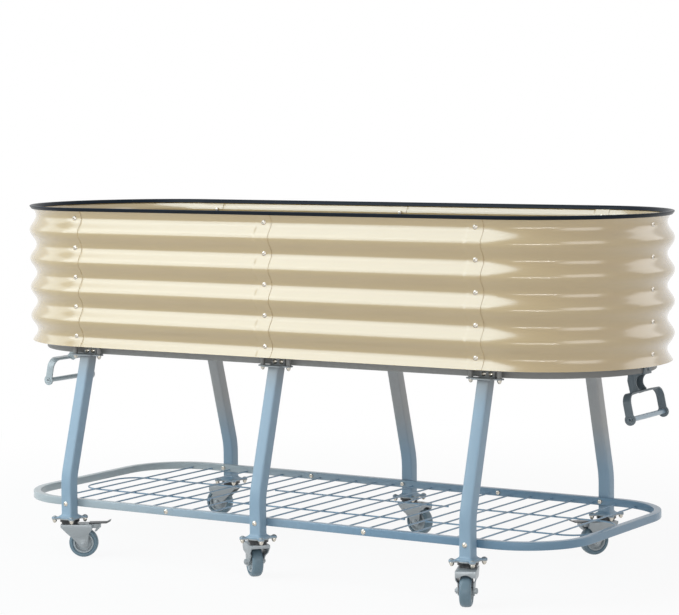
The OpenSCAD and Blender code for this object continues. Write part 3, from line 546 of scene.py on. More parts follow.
def shaded_race_gap(tree, vector, zinc):
    """Colour with painted shade in the race gap between a caster's plate and its fork."""
    height = place_on(tree, vector, "Z")
    inside = math(tree, "MULTIPLY", math(tree, "GREATER_THAN", height, RACE_LOW),
                  math(tree, "LESS_THAN", height, RACE_HIGH))
    return mixed(tree, inside, zinc, RACE_SHADE_COLOUR)


def make_finish(name):
    tint, roughness, metallic, specular, scale, height, unevenness, drift, edge_lightening, coat = FINISHES[name]
    material = bpy.data.materials.new(name + "_look")
    material.use_nodes = True
    tree, groups = material.node_tree, bpy.data.node_groups
    vector = shader_node(tree, "TexCoord")["Object"]
    base = opaque(tint)
    spread = {"Vector": vector, "Colour": base, "Scale": DRIFT_SCALE, "Amount": drift}
    shade = shader_node(tree, "Group", spread, node_tree=groups["Colour drift"])["Colour"]
    # Painted light and shade: the colour fades along an axis
    if name in PAINTED_LIGHT_FADES:
        shade = faded(tree, vector, shade, *PAINTED_LIGHT_FADES[name])
    # Painted shade in the race gap between the plate and the fork
    if name == "caster_zinc":
        shade = shaded_race_gap(tree, vector, shade)
    # Sharp edges lightened in patches: partly the thinner coat on edges, partly a painted edge highlight
    if edge_lightening:
        edge_light = tuple(min(1, EDGE_LIGHT_GAIN * c + EDGE_LIGHT_LIFT) for c in base[:3]) + (1,)
        edge_mask = shader_node(tree, "Group", {"Vector": vector, "Amount": edge_lightening}, node_tree=groups["Edge wear"])
        shade = mixed(tree, edge_mask["Mask"], shade, edge_light)
    rough = {"Vector": vector, "Scale": scale, "Roughness": roughness, "Unevenness": unevenness}
    grain = shader_node(tree, "Group", rough, node_tree=groups["Coat grain"])
    raised = {"Height": grain["Height"], "Distance": height, "Strength": GRAIN_STRENGTH}
    feed(tree, tree.nodes["Principled BSDF"], {
        "Base Color": shade, "Roughness": grain["Roughness"], "Metallic": metallic, "Coat IOR": COAT_IOR,
        "Specular IOR Level": specular, "Coat Weight": coat, "Coat Roughness": COAT_ROUGHNESS,
        "Normal": shader_node(tree, "Bump", raised)["Normal"]})


def finish(name):
    return bpy.data.materials[name + "_look"]


class PLANTER_OT_finishes(Operator):
    """Makes the finishes of all the pieces"""
    bl_idname = "planter.finishes"
    bl_label = "Finishes"

    def execute(self, context):
        spread_group()
        grain_group()
        lightened_edge_group()
        for name in FINISHES:
            make_finish(name)
        return {"FINISHED"}


# Walls and trim
def walk(stops):
    """Sweeps the selected edges along the plan through (station, level) stops."""
    e, run = sizes().end_x, arc_run()
    breaks = [-e, e, e + run, 3 * e + run]
    for (s0, level0), (s1, level1) in zip(stops, stops[1:]):
        inner = [b for b in breaks if s0 < b < s1]
        ends = [s0] + inner + [s1]
        for a, b in zip(ends, ends[1:]):
            middle = (a + b) / 2
            if -e < middle < e or e + run < middle < 3 * e + run:
                out, rise = facing(middle), (level1 - level0) * sizes().lap_step
                push((rise * cos(out) - (b - a) * sin(out), rise * sin(out) + (b - a) * cos(out), 0))
            else:
                angle = (b - a) / sizes().ridge_r
                turn(angle, (centre_x(middle), 0, 0), Z, ceil(angle / radians(2)))


class PLANTER_OT_walls(Operator):
    """Models the eight corrugated wall sheets with their laps"""
    bl_idname = "planter.walls"
    bl_label = "Wall sheets"

    def execute(self, context):
        size = sizes()
        step, flat = 0.004, 0.003  # lengths of the step at a lap and of the flats beside it
        at = seams()
        rows = 76
        heights = [WALL_LOW.z + (WALL_HIGH.z - WALL_LOW.z) * k / rows for k in range(rows + 1)]
        for i, name in enumerate(SHEETS):
            first, level, last = LAPS[i][1], MAIN_LEVEL[i], LAPS[i + 1][0]
            begin, edge, end = at[i], at[i + 1] - size.lap_width, at[i + 1]
            start = begin - size.lap_width + SHEET_GAP
            stops = [(start, first)]
            if first < level:
                stops += [(begin - flat, first), (begin, first), (begin + step, level),
                          (begin + step + flat, level)]
            if last > level:
                stops += [(edge - step - flat, level), (edge - step, level), (edge, last), (edge + flat, last)]
            stops.append((end, last))
            r = size.ridge_r + first * size.lap_step
            piece = outline([place(start, r + wave(z), z) for z in heights], closed=False)
            walk(stops)
            close_ends(fill=False)
            face = piece.data.polygons[0]
            if face.normal.dot(Vector((face.center.x - centre_x(start), face.center.y, 0))) < 0:
                piece.data.flip_normals()
            modifier(piece, "SOLIDIFY", thickness=size.sheet, offset=-1, use_even_offset=True)
            settle(piece, name + "_sheet", "wall_finish", [name])
        return {"FINISHED"}


class PLANTER_OT_trim(Operator):
    """Models the edge trim along the top of the sheets"""
    bl_idname = "planter.trim"
    bl_label = "Edge trim"

    def execute(self, context):
        size = sizes()
        top, low = TRIM_HIGH.z, TRIM_LOW.z
        lip = WALL_HIGH.z + SHEET_GAP
        out_edge, in_edge = 0.00265, -0.00475
        slot_out, slot_in = 0.00125, -0.00335
        cut, lift = 0.0004, 0.0006  # chamfer along the two lower edges
        bead_r = (out_edge - in_edge) / 2
        bead_z = top - bead_r

        def at(offset, z):
            return place(-size.end_x, size.ridge_r + wave(min(z, WALL_HIGH.z)) + offset, z)

        points = [at(slot_out, low), at(out_edge - cut, low), at(out_edge, low + lift)]
        points += [at(out_edge, low + (bead_z - low) * k / 3) for k in (1, 2)]
        middle = (out_edge + in_edge) / 2
        points += [at(middle + a, bead_z + b) for a, b in arc(0, 0, bead_r, 0, 180, 12)]
        points += [at(in_edge, low + (bead_z - low) * k / 3) for k in (2, 1)]
        points += [at(in_edge, low + lift), at(in_edge + cut, low), at(slot_in, low)]
        points += [at(slot_in, lip), at(slot_out, lip)]
        piece = outline(points)
        e, run = size.end_x, arc_run()
        walk([(-e, 0), (3 * e + 2 * run, 0)])
        close_ends()
        settle(piece, "edge_trim", "edge_trim", ["rim_trim"], limit=50)
        return {"FINISHED"}


# Fasteners
HEAD_R, HEAD_H, SHANK_R = 0.0065, 0.0035, 0.003
NOSE = 0.0073  # length of a shelf bolt beyond the tubes that it clamps


def bolt(shank, socket=True):
    """Domed bolt along X with its seat at the origin and its head on the high side."""
    dome = (HEAD_R ** 2 + HEAD_H ** 2) / (2 * HEAD_H)
    points = [(-shank, 0), (-shank, 0.0022), (0.0008 - shank, SHANK_R), (0, SHANK_R), (0, HEAD_R - 0.0003),
              (0.0003, HEAD_R)]
    for k in range(1, 6):
        r = HEAD_R * (1 - k / 8)
        points.append((HEAD_H - dome + sqrt(dome ** 2 - r ** 2), r))
    if socket:
        tip = points[-1]
        points += [(tip[0] - 0.0001, 0.0022), (tip[0] - 0.0020, 0.0020), (tip[0] - 0.0020, 0)]
    else:
        points.append((HEAD_H, 0))
    return lathe(points, 20)


def cap_nut(h):
    """Round cap over a nut, along X from its seat at the origin to the low side."""
    dome = [(-0.50 * h, 0.0050), (-0.78 * h, 0.0038), (-0.96 * h, 0.0018), (-h, 0)]
    return lathe([(0, 0), (0, 0.0052)] + dome, 16)


def nut():
    """Hexagon nut along X, from its seat at the origin to the low side."""
    r, h = 0.0057, 0.005
    piece = outline([(0, a, b) for a, b in arc(0, 0, r, 0, 300, 5)])
    bpy.ops.mesh.edge_face_add()
    push((-h, 0, 0))
    close_ends()
    soften_edges(piece, 0.0005)
    return piece


def standing(x, y, z, turn_z=0.0, up=False):
    """Place of a fastener whose head looks along turn_z in plan, or up."""
    matrix = Matrix.Translation((x, y, z)) @ Matrix.Rotation(turn_z, 4, "Z")
    if up:
        matrix = matrix @ Matrix.Rotation(-pi / 2, 4, "Y")
    return matrix


class PLANTER_OT_seam_bolts(Operator):
    """Models the bolts and nuts that hold the laps of the wall sheets"""
    bl_idname = "planter.seam_bolts"
    bl_label = "Seam bolts"

    def execute(self, context):
        size = sizes()
        heads, nuts = [], []
        for i in range(len(SHEETS)):
            s = seams()[i] - size.bolt_inset
            seat = size.ridge_r - size.wave_depth + LAPS[i][0] * size.lap_step + 0.0004
            for k, z in enumerate(valleys()):
                behind = seat - 2 * size.lap_step - 0.0006 if k else TRAY_LIP
                heads.append(standing(*place(s, seat, z), facing(s)))
                nuts.append(standing(*place(s, behind, z), facing(s)))
        pieces = copies(bolt(0.0105), heads) + copies(nut(), nuts)
        settle(join(pieces), "seam_bolts", "fastener", ["seam_fasteners"])
        return {"FINISHED"}


# Base frame
class PLANTER_OT_base_frame(Operator):
    """Models the rails and the bows of the base frame"""
    bl_idname = "planter.base_frame"
    bl_label = "Base frame"

    def execute(self, context):
        size = sizes()
        # The rails and bows get a painted shade finish, a darker copy of the powder coat for the shadow under
        # the wall sheets
        middle = (RAIL_LOW.z + RAIL_HIGH.z) / 2
        section = rounded_square(size.frame_tube, 0.0025, 4)
        for row, side in (("front", -1), ("back", 1)):
            for end, x in (("left", -size.leg_pitch), ("right", 0)):
                piece = outline([(x + GAP, side * size.frame_r + a, middle + b) for a, b in section])
                push((size.leg_pitch - 2 * GAP, 0, 0))
                settle_tube(piece, f"base_rail_{row}_{end}", "frame_coat")
        for end, side in (("left", -1), ("right", 1)):
            start = side * (size.leg_pitch + GAP)
            piece = outline([(start, -side * size.frame_r + a, middle + b) for a, b in section])
            reach = side * size.end_x - start
            push((reach, 0, 0))
            turn(pi, (side * size.end_x, 0, 0), Z, 72)
            push((-reach, 0, 0))
            settle_tube(piece, f"base_bow_{end}", "frame_coat")
        return {"FINISHED"}


class PLANTER_OT_floor(Operator):
    """Gives the floor trays and the ties under them their finish"""
    bl_idname = "planter.floor"
    bl_label = "Floor trays and ties"

    def execute(self, context):
        looks = {"floor_tray_left": "tray", "floor_tray_right": "tray", "cross_ties": "powder_coat"}
        for node, name in looks.items():
            mesh = frame["nodes"][node].data
            mesh.materials.clear()
            mesh.materials.append(finish(name))
        return {"FINISHED"}


# Legs
def leg_tube():
    """Back leg on the line x = 0: a bent tube that flares into a weld at each end."""
    size = sizes()
    foot = PLATE_HIGH.z + PLATE
    top = RAIL_LOW.z - PLATE
    span = size.foot_span
    lean = atan((span - size.head_span) / (top - foot - size.bend_height))
    bend_start = foot + size.bend_height - size.bend_radius * tan(lean / 2)
    half = size.leg_tube / 2
    weld = [(0.0072, 0.0), (0.0066, 0.0012), (0.0046, 0.0024), (0.0023, 0.0038), (0.0008, 0.0056),
            (0.0, 0.0076)]
    section = rounded_square(size.leg_tube, 0.005, 6)
    flare = 1 + weld[0][0] / half
    piece = outline([(flare * a, span + flare * b, foot) for a, b in section])
    height = 0.0
    for spread, z in weld[1:]:
        push((0, 0, z - height))
        now = 1 + spread / half
        swell(now / flare, (0, span, foot + z))
        height, flare = z, now
    push((0, 0, bend_start - foot - height))
    turn(lean, (0, span - size.bend_radius, bend_start), X, 14)
    rise = (top - bend_start - size.bend_radius * sin(lean)) / cos(lean)
    push((0, -rise * sin(lean), rise * cos(lean)))
    mesh = bmesh.from_edit_mesh(piece.data)
    for vertex in mesh.verts:
        if vertex.select:
            slide = (top - vertex.co.z) / cos(lean)
            vertex.co += Vector((0, -slide * sin(lean), slide * cos(lean)))
    bmesh.update_edit_mesh(piece.data)
    close_ends()
    return piece


def foot_outline():
    """Disc with four round ears, as points round its middle."""
    disc, ear, reach, neck, steps = 0.027, 0.0075, 0.0389, 0.0072, 144
    points = []
    for k in range(steps):
        t = 2 * pi * k / steps
        off = abs(t % (pi / 2) - pi / 4)
        across = reach * sin(off)
        r = neck / sin(off) if off > 1e-6 else reach + ear
        if across < ear:
            r = min(r, reach * cos(off) + sqrt(ear ** 2 - across ** 2))
        r = max(disc, r)
        points.append((r * cos(t), r * sin(t)))
    return points


def head_bracket():
    """Plate on top of a back leg, with its two ears and the flange behind the frame tube."""
    size = sizes()
    low, high = RAIL_LOW.z - PLATE, RAIL_LOW.z
    half, near, far = 0.026, size.frame_r - 0.005, size.head_span + 0.027
    ear = 0.011
    points = [(-half, near), (half, near), (half, size.ear_y - ear)]
    points += arc(size.ear_x, size.ear_y, ear, -90, 90, 12)
    points += [(half, size.ear_y + ear), (half, far), (-half, far), (-half, size.ear_y + ear)]
    points += arc(-size.ear_x, size.ear_y, ear, 90, 270, 12)
    points.append((-half, size.ear_y - ear))
    flange = [(-0.020, FLANGE_IN), (0.020, FLANGE_IN), (0.020, FLANGE_OUT), (-0.020, FLANGE_OUT)]
    return [slab(points, low, high - GAP), slab(flange, low + 0.001, high + 0.017)]


class PLANTER_OT_legs(Operator):
    """Models the six legs with their foot plates and head brackets"""
    bl_idname = "planter.legs"
    bl_label = "Legs"

    def execute(self, context):
        size = sizes()
        foot = [(x, y + size.foot_span) for x, y in foot_outline()]
        model = join([leg_tube(), slab(foot, PLATE_HIGH.z, PLATE_HIGH.z + PLATE, 0.0006)] + head_bracket())
        places = [Matrix.Translation((i * size.leg_pitch, 0, 0)) @ Matrix.Scale(j, 4, Y) for i, j in PLACES]
        for piece, ((_, j), name) in zip(copies(model, places), PLACES.items()):
            # The legs fade from the blue coat below into a painted shade colour towards the top, where the bed
            # shades them
            look = "back_coat" if j > 0 else "leg_coat"
            settle(piece, f"leg_{name}_tube", look, ["leg_" + name], "powder_coat")
        return {"FINISHED"}


class PLANTER_OT_head_bolts(Operator):
    """Models the bolts and spacers of the head brackets"""
    bl_idname = "planter.head_bolts"
    bl_label = "Head bracket bolts"

    def execute(self, context):
        size = sizes()
        top, under = RAIL_HIGH.z + 0.0015, RAIL_LOW.z - PLATE
        ears, flanges, spacers, nuts = [], [], [], []
        for i, j in PLACES:
            mirror = Matrix.Scale(j, 4, Y)
            for side in (-1, 1):
                x = i * size.leg_pitch + side * size.ear_x
                for seats, z in ((ears, top), (nuts, under), (spacers, RAIL_LOW.z + GAP)):
                    seats.append(mirror @ standing(x, size.ear_y, z, up=True))
                x = i * size.leg_pitch + side * 0.0095
                flanges.append(mirror @ standing(x, FLANGE_OUT + SHEET_GAP, RAIL_LOW.z + 0.008, pi / 2))
        spacer = lathe([(0, 0.0033), (0, 0.0055), (0.0006, 0.006), (0.0242, 0.006), (0.0248, 0.0055),
                        (0.0248, 0.0033)], 24, closed=True)
        pieces = copies(bolt(top - under + 0.005), ears) + copies(bolt(0.008), flanges)
        pieces += copies(nut(), nuts) + copies(cap_nut(0.0100), nuts)
        settle(join(pieces), "head_bolts", "fastener", ["head_fasteners"])
        # The spacers share the frame's painted shade finish
        settle(join(copies(spacer, spacers)), "head_spacers", "frame_coat", ["head_fasteners"], "fastener")
        return {"FINISHED"}


# Shelf
class PLANTER_OT_shelf_frame(Operator):
    """Models the rails and the bows of the shelf frame"""
    bl_idname = "planter.shelf_frame"
    bl_label = "Shelf frame"

    def execute(self, context):
        size = sizes()
        section = rounded_square(size.shelf_tube, 0.002, 4)
        line = -(SHELF_LOW.y + SHELF_HIGH.y) / 2
        plug = 0.020  # how far a tube ends from the bolt of its joint
        corner_x, corner_y = size.shelf_end - size.shelf_corner, line + size.shelf_tube / 2 - size.shelf_corner
        # The rails and bows fade from painted light at the left end into the shelf colour
        for node, side in (("shelf_rail_front", 1), ("shelf_rail_back", -1)):
            x0, x1 = side * (plug - size.joint_x + SHEET_GAP), side * (plug + size.joint_x - SHEET_GAP)
            piece = outline([(x0, -side * line + a, SHELF_MIDDLE + b) for a, b in section])
            push((x1 - x0, 0, 0))
            settle_tube(piece, node, "shelf_coat")
        for node, side in (("shelf_bow_left", -1), ("shelf_bow_right", 1)):
            x0 = size.joint_x + plug + SHEET_GAP
            piece = outline([(side * x0, -side * line + a, SHELF_MIDDLE + b) for a, b in section])
            hairpin(side, corner_x - x0, corner_x, corner_y, 24, corner_x - size.joint_x + plug - SHEET_GAP)
            settle_tube(piece, node, "shelf_coat")
        return {"FINISHED"}


def rod(start, end, radius, steps=10):
    """Straight wire between two points along X or Y."""
    start, end = Vector(start), Vector(end)
    along = (end - start).normalized()
    side = Z.cross(along)
    angles = [2 * pi * k / steps for k in range(steps)]
    piece = outline([start + radius * (cos(t) * side + sin(t) * Z) for t in angles])
    push(end - start)
    close_ends()
    return piece


def weld_bead(radius):
    """Flattened drop of weld round the origin."""
    clear_selection()
    bpy.ops.mesh.primitive_ico_sphere_add(subdivisions=2, radius=radius, location=(0, 0, 0))
    piece = bpy.context.active_object
    bpy.ops.object.mode_set(mode="EDIT")
    grab_all()
    bpy.ops.transform.resize(value=(1, 1, 0.6), center_override=(0, 0, 0))
    bpy.ops.transform.vertex_random(offset=radius * 0.08, seed=3)
    bpy.ops.object.mode_set(mode="OBJECT")
    return piece


class PLANTER_OT_shelf_mesh(Operator):
    """Models the three welded wire meshes of the shelf"""
    bl_idname = "planter.shelf_mesh"
    bl_label = "Shelf mesh"

    def execute(self, context):
        size = sizes()
        r, long_y = size.wire / 2, size.long_wire_y
        sink, hair = 0.0003, 0.0002  # how far crossing wires melt together, and the gap at a cross wire's end
        cross_z = SHELF_MIDDLE - 0.004
        long_z = cross_z - size.wire + sink
        inside = -SHELF_LOW.y - size.shelf_tube
        corner_r = size.shelf_corner - size.shelf_tube
        corner_x = size.shelf_end - size.shelf_corner
        corner_y = inside - corner_r

        def reach(x):
            """Half the length of the cross wire at x."""
            if x + r < corner_x:
                return inside - hair
            return corner_y + sqrt(corner_r ** 2 - (x + r - corner_x) ** 2) - hair

        middle = [(k - 4.5) * size.wire_pitch for k in range(10)]
        first = middle[-1] + 0.063
        ends = [first + k * size.end_pitch for k in range(7)]
        loop_r = 0.062
        loop_x, loop_y = ends[-1] + 0.069 - loop_r, long_y - loop_r
        run = loop_x - first + r
        for part, side in (("left", -1), ("middle", 0), ("right", 1)):
            wires = middle if side == 0 else [side * x for x in ends]
            parts = [rod((x, -reach(abs(x)), cross_z), (x, reach(abs(x)), cross_z), r) for x in wires]
            spots = [(x, way) for x in wires for way in (-1, 1)]
            crossings = [Matrix.Translation((x, way * long_y, (cross_z + long_z) / 2)) for x, way in spots]
            seats = [Matrix.Translation((x, way * (reach(abs(x)) - 0.0012), cross_z)) for x, way in spots]
            if side == 0:
                start, end = middle[0] - r, middle[-1] + r
                parts += [rod((start, y, long_z), (end, y, long_z), r) for y in (-long_y, long_y)]
            else:
                ring = [(side * (first - r), r * cos(k * pi / 5) - side * long_y, long_z + r * sin(k * pi / 5))
                        for k in range(10)]
                parts.append(outline(ring))
                hairpin(side, run, loop_x, loop_y, 14, run)
                close_ends()
            parts += copies(weld_bead(0.0028), crossings) + copies(weld_bead(0.0034), seats)
            settle(join(parts), f"shelf_mesh_{part}_wires", "wire_coat", ["shelf_mesh_" + part], "powder_coat")
        return {"FINISHED"}


class PLANTER_OT_shelf_bolts(Operator):
    """Models the bolts of the shelf frame"""
    bl_idname = "planter.shelf_bolts"
    bl_label = "Shelf bolts"

    def execute(self, context):
        size = sizes()
        side_y = -SHELF_LOW.y
        leg_y = size.foot_span + size.leg_tube / 2
        legs, joints, nuts = [], [], []
        for j in (-1, 1):
            mirror = Matrix.Scale(j, 4, Y)
            for heads, pitch, y, row in ((legs, size.leg_pitch, leg_y, (-1, 0, 1)),
                                         (joints, size.joint_x, side_y, (-1, 1))):
                for i in row:
                    heads.append(mirror @ standing(i * pitch, y + GAP, SHELF_MIDDLE, pi / 2))
                    nuts.append(mirror @ standing(i * pitch, side_y - size.shelf_tube, SHELF_MIDDLE, pi / 2))
        pieces = copies(bolt(size.leg_tube + size.shelf_tube + NOSE), legs)
        pieces += copies(bolt(size.shelf_tube + NOSE), joints) + copies(nut(), nuts)
        settle(join(pieces), "shelf_bolts", "fastener", ["shelf_fasteners"])
        return {"FINISHED"}


# Handles
class PLANTER_OT_handles(Operator):
    """Softens the handle brackets and models the grip bars"""
    bl_idname = "planter.handles"
    bl_label = "Handles"

    def execute(self, context):
        # Painted light and shade: the left handle gets a lighter copy of the powder coat, the right handle bar
        # another lighter copy and the right bracket a darker copy
        looks = {"left": ("pale_coat", "pale_coat"), "right": ("grip_coat", "bracket_coat")}
        for name, (bar_look, bracket_look) in looks.items():
            low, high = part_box("grip_" + name)
            x, z, half, r = (low.x + high.x) / 2, (low.z + high.z) / 2, high.y, (high.z - low.z) / 2
            there = Matrix.Translation((x, 0, z)) @ Matrix.Rotation(pi / 2, 4, "Z")
            cap, hole, depth = half - 0.0010, 0.0022, 0.020
            profile = [(cap, hole), (cap, r - 0.0004), (0, r - 0.00005)]
            bar = lathe([(depth - cap, 0), (depth - cap, hole)] + [(-a, b) for a, b in profile]
                        + profile[1::-1] + [(cap - depth, hole), (cap - depth, 0)], 28)
            washer = [(cap + GAP, hole), (cap + GAP, r), (half - 0.0003, r), (half, r - 0.0003),
                      (half, hole + 0.0003), (half - 0.0003, hole)]
            caps = [lathe([(way * a, b) for a, b in washer], 28, closed=True) for way in (-1, 1)]
            for made in [bar] + caps:
                made.data.transform(there)
            settle(bar, f"grip_{name}_bar", bar_look, ["grip_" + name], "powder_coat")
            bracket = join([softened_copy("handle_" + name, 0.0005)] + caps)
            settle(bracket, f"handle_{name}_bracket", bracket_look, ["handle_" + name], "powder_coat")
        return {"FINISHED"}


# Casters
def across(profile):
    """A half profile of (x, r) points and its mirror image, as one closed outline."""
    return profile + [(-x, r) for x, r in reversed(profile)]


class PLANTER_OT_casters(Operator):
    """Models the tyres and hubs and softens the forks, plates and pedals"""
    bl_idname = "planter.casters"
    bl_label = "Casters"

    def execute(self, context):
        size = sizes()
        r, half, hub_r = size.wheel / 2, size.tyre_width / 2, size.hub / 2
        bead = half - 0.0030
        tread = [(bead, hub_r + GAP), (bead, hub_r + 0.0014), (half - 0.0004, hub_r + 0.0026),
                 (half, r - 0.0082)]
        tread += [(half - 0.0075 + a, r - 0.0080 + b) for a, b in arc(0, 0, 0.0075, 6, 78, 6)]
        tread += [(half - 0.0100, r - 0.00015), (GAP, r)]
        tyre = lathe(across(tread), 64, closed=True)
        boss = half + 0.0022
        rings = [(boss, 0.0041), (boss, 0.0085), (boss - 0.0005, 0.009), (0.006, 0.0097), (0.0055, 0.0105),
                 (0.0048, hub_r - 0.0065), (0.0052, hub_r - 0.0055), (half - 0.002, hub_r - 0.0042),
                 (half - 0.0014, hub_r - 0.0036), (half - 0.0014, hub_r - 0.0006), (half - 0.002, hub_r)]
        hub = lathe(across(rings), 48, closed=True)
        spin = Matrix.Translation((size.trail, 0, r)) @ Matrix.Rotation(pi / 2, 4, "Z")
        for (i, j), name in PLACES.items():
            swivel = Matrix.Translation((i * size.leg_pitch, j * size.foot_span, 0))
            there = swivel @ Matrix.Rotation(radians(CASTER_TURN[name]), 4, "Z") @ spin
            for model, node, made in ((tyre, "tyre", "_tread"), (hub, "hub", "_rings")):
                piece = placed_copy(model, there)
                settle(piece, f"{node}_{name}{made}", node, [f"{node}_{name}"], body="wheel_" + name)
            fork = softened_copy("fork_" + name, 0.0007)
            settle(fork, f"fork_{name}_shell", "caster_zinc", ["fork_" + name], body="caster_" + name)
        bpy.data.objects.remove(tyre)
        bpy.data.objects.remove(hub)
        for name in ("front_left", "back_right"):
            pedal = softened_copy("pedal_" + name, 0.0005)
            settle(pedal, f"pedal_{name}_shell", "caster_zinc", ["pedal_" + name], body="brake_" + name)
        settle(softened_copy("caster_plates", 0.0005), "caster_plate_discs", "caster_zinc", ["caster_plates"])
        return {"FINISHED"}


class PLANTER_OT_caster_bolts(Operator):
    """Models the bolts and nuts of the caster plates"""
    bl_idname = "planter.caster_bolts"
    bl_label = "Caster bolts"

    def execute(self, context):
        size = sizes()
        pitch = 0.055 / 2
        heads, nuts = [], []
        for i, j in PLACES:
            for a in (-pitch, pitch):
                for b in (-pitch, pitch):
                    x, y = i * size.leg_pitch + a, j * size.foot_span + b
                    heads.append(standing(x, y, PLATE_HIGH.z + PLATE + GAP, up=True))
                    nuts.append(standing(x, y, PLATE_HIGH.z - PLATE, up=True))
        bolts = join(copies(bolt(0.0110, socket=False), heads))
        settle(bolts, "caster_bolt_heads", "caster_zinc", ["caster_fasteners"], "fastener")
        capped = join(copies(nut(), nuts) + copies(cap_nut(0.0095), nuts))
        settle(capped, "caster_nuts", "fastener", ["caster_fasteners"])
        return {"FINISHED"}


# Stage
CAMERA_PLACE = (3.2611, -5.1027, 1.1441)
CAMERA_TURN, CAMERA_DIP, CAMERA_ROLL = radians(32.491), radians(4.786), radians(0.520)
CAMERA_LENS = 126.68

BED, COOL, NEUTRAL, WHITE = (0, 0, 0.7), (0.845, 0.955, 1.0), (1, 1, 1), (1, 1, 1, 1)
# Each lamp: place, target, width and height, watts, tint
LAMPS = {
    "key": ((-2.75, -3.5, 2.3), BED, (2.7, 2.7), 59, COOL),
    "top": ((-1.45, -1.85, 3.6), BED, (2.7, 2.3), 52, COOL),
    "left_panel": ((-4.4, -1.5, 2.2), (-0.8, -0.1, 0.7), (3.3, 2.3), 26, COOL),
    "fill": ((4.8, -2.4, 2.4), BED, (3.2, 3.0), 40, NEUTRAL),
    "front_strip": ((2.6, -6.8, 1.0), BED, (5.0, 0.16), 60, NEUTRAL),
    "end_panel": ((2.9, 2.3, 2.2), (0.9, 0, 0.7), (2.0, 2.2), 13, NEUTRAL),
}
ROOM_COLOUR, ROOM_STRENGTH = (0.97, 0.985, 1.0, 1), 0.31
FLOOR_COLOUR = (0.85, 0.85, 0.85, 1)
# Where the floor starts to turn white, where it is white, and the share of white before that
FLOOR_FADE = (0.9, 2.6, 0.92)


def area_light(name, place, target, size, power, tint):
    bpy.ops.object.light_add(type="AREA", location=place)
    lamp = bpy.context.active_object
    lamp.name = name
    lamp.rotation_euler = (Vector(target) - Vector(place)).to_track_quat("-Z", "Y").to_euler()
    lamp.data.shape = "RECTANGLE"
    lamp.data.size, lamp.data.size_y = size
    lamp.data.energy = power
    lamp.data.color = tint


def seen_rays(tree):
    """1 for rays from the camera, off mirrors and through glass."""
    path = shader_node(tree, "LightPath")
    return math(tree, "MAXIMUM", path["Is Camera Ray"],
                math(tree, "MAXIMUM", path["Is Glossy Ray"], path["Is Transmission Ray"]))


def whiten(tree, factor, shader, white, output):
    """Sends a shader to the output, with a white one over it as far as the factor says."""
    mix = shader_node(tree, "MixShader", {0: factor, 1: shader.outputs[0], 2: white[0]})
    feed(tree, tree.nodes[output], {"Surface": mix[0]})


def floor_material():
    """Pale floor that shows soft shadows near the planter and turns plain white further out."""
    material = bpy.data.materials.new("floor")
    material.use_nodes = True
    tree = material.node_tree
    shader = tree.nodes["Principled BSDF"]
    feed(tree, shader, {"Base Color": FLOOR_COLOUR, "Roughness": 0.9, "Specular IOR Level": 0.2})
    out = shader_node(tree, "VectorMath", {0: shader_node(tree, "TexCoord")["Object"]}, operation="LENGTH")
    fade = math(tree, "MULTIPLY", seen_rays(tree), ramp(tree, out["Value"], *FLOOR_FADE))
    whiten(tree, fade, shader, shader_node(tree, "Emission", {"Color": WHITE}), "Material Output")
    return material


def studio_world():
    """Soft light of a room round the planter, seen as plain white."""
    world = bpy.data.worlds.new("studio")
    world.use_nodes = True
    tree = world.node_tree
    room = tree.nodes["Background"]
    feed(tree, room, {"Color": ROOM_COLOUR, "Strength": ROOM_STRENGTH})
    whiten(tree, seen_rays(tree), room, shader_node(tree, "Background", {"Color": WHITE}), "World Output")
    return world


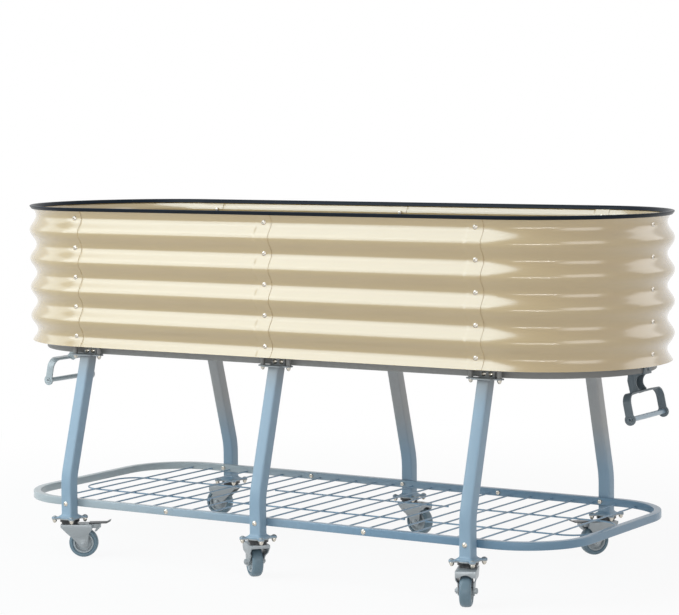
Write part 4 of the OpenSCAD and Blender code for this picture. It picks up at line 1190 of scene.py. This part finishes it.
class PLANTER_OT_stage(Operator):
    """Sets up the floor, the lights and the camera"""
    bl_idname = "planter.stage"
    bl_label = "Stage"

    def execute(self, context):
        scene = context.scene
        scene.view_settings.view_transform = "Standard"

        clear_selection()
        bpy.ops.mesh.primitive_plane_add(size=60, location=(0, 0, 0))
        floor = bpy.context.active_object
        floor.name = "floor"
        floor.data.materials.append(floor_material())
        scene.world = studio_world()
        for name, lamp in LAMPS.items():
            area_light(name, *lamp)

        turn_head = Matrix.Rotation(CAMERA_TURN, 4, "Z") @ Matrix.Rotation(pi / 2 - CAMERA_DIP, 4, "X")
        rotation = (turn_head @ Matrix.Rotation(-CAMERA_ROLL, 4, "Z")).to_euler()
        bpy.ops.object.camera_add(location=CAMERA_PLACE, rotation=rotation)
        camera = bpy.context.active_object
        camera.name = "camera"
        camera.data.sensor_width = 36
        camera.data.lens = CAMERA_LENS
        camera.data.clip_end = 100
        scene.camera = camera
        return {"FINISHED"}


OPERATORS = [
    PLANTER_OT_finishes, PLANTER_OT_walls, PLANTER_OT_trim, PLANTER_OT_seam_bolts, PLANTER_OT_base_frame,
    PLANTER_OT_floor, PLANTER_OT_legs, PLANTER_OT_head_bolts, PLANTER_OT_shelf_frame, PLANTER_OT_shelf_mesh,
    PLANTER_OT_shelf_bolts, PLANTER_OT_handles, PLANTER_OT_casters, PLANTER_OT_caster_bolts, PLANTER_OT_stage,
]


class PLANTER_PT_panel(Panel):
    """Lists the planter's pieces, sizes and colours"""
    bl_idname = "PLANTER_PT_panel"
    bl_label = "Planter"
    bl_space_type = "VIEW_3D"
    bl_region_type = "UI"
    bl_category = "Planter"

    def draw(self, context):
        for operator in OPERATORS:
            self.layout.operator(operator.bl_idname)
        for group in (context.scene.planter_sizes, context.scene.planter_colours):
            for name in group.__annotations__:
                self.layout.prop(group, name)


CLASSES = [PlanterSizes, PlanterColours] + OPERATORS + [PLANTER_PT_panel]


def register():
    for cls in CLASSES:
        bpy.utils.register_class(cls)
    bpy.types.Scene.planter_sizes = PointerProperty(type=PlanterSizes)
    bpy.types.Scene.planter_colours = PointerProperty(type=PlanterColours)


def unregister():
    del bpy.types.Scene.planter_colours
    del bpy.types.Scene.planter_sizes
    for cls in reversed(CLASSES):
        bpy.utils.unregister_class(cls)


def main():
    register()
    for operator in OPERATORS:
        group, name = operator.bl_idname.split(".")
        getattr(getattr(bpy.ops, group), name)()


if __name__ == "__main__":
    main()
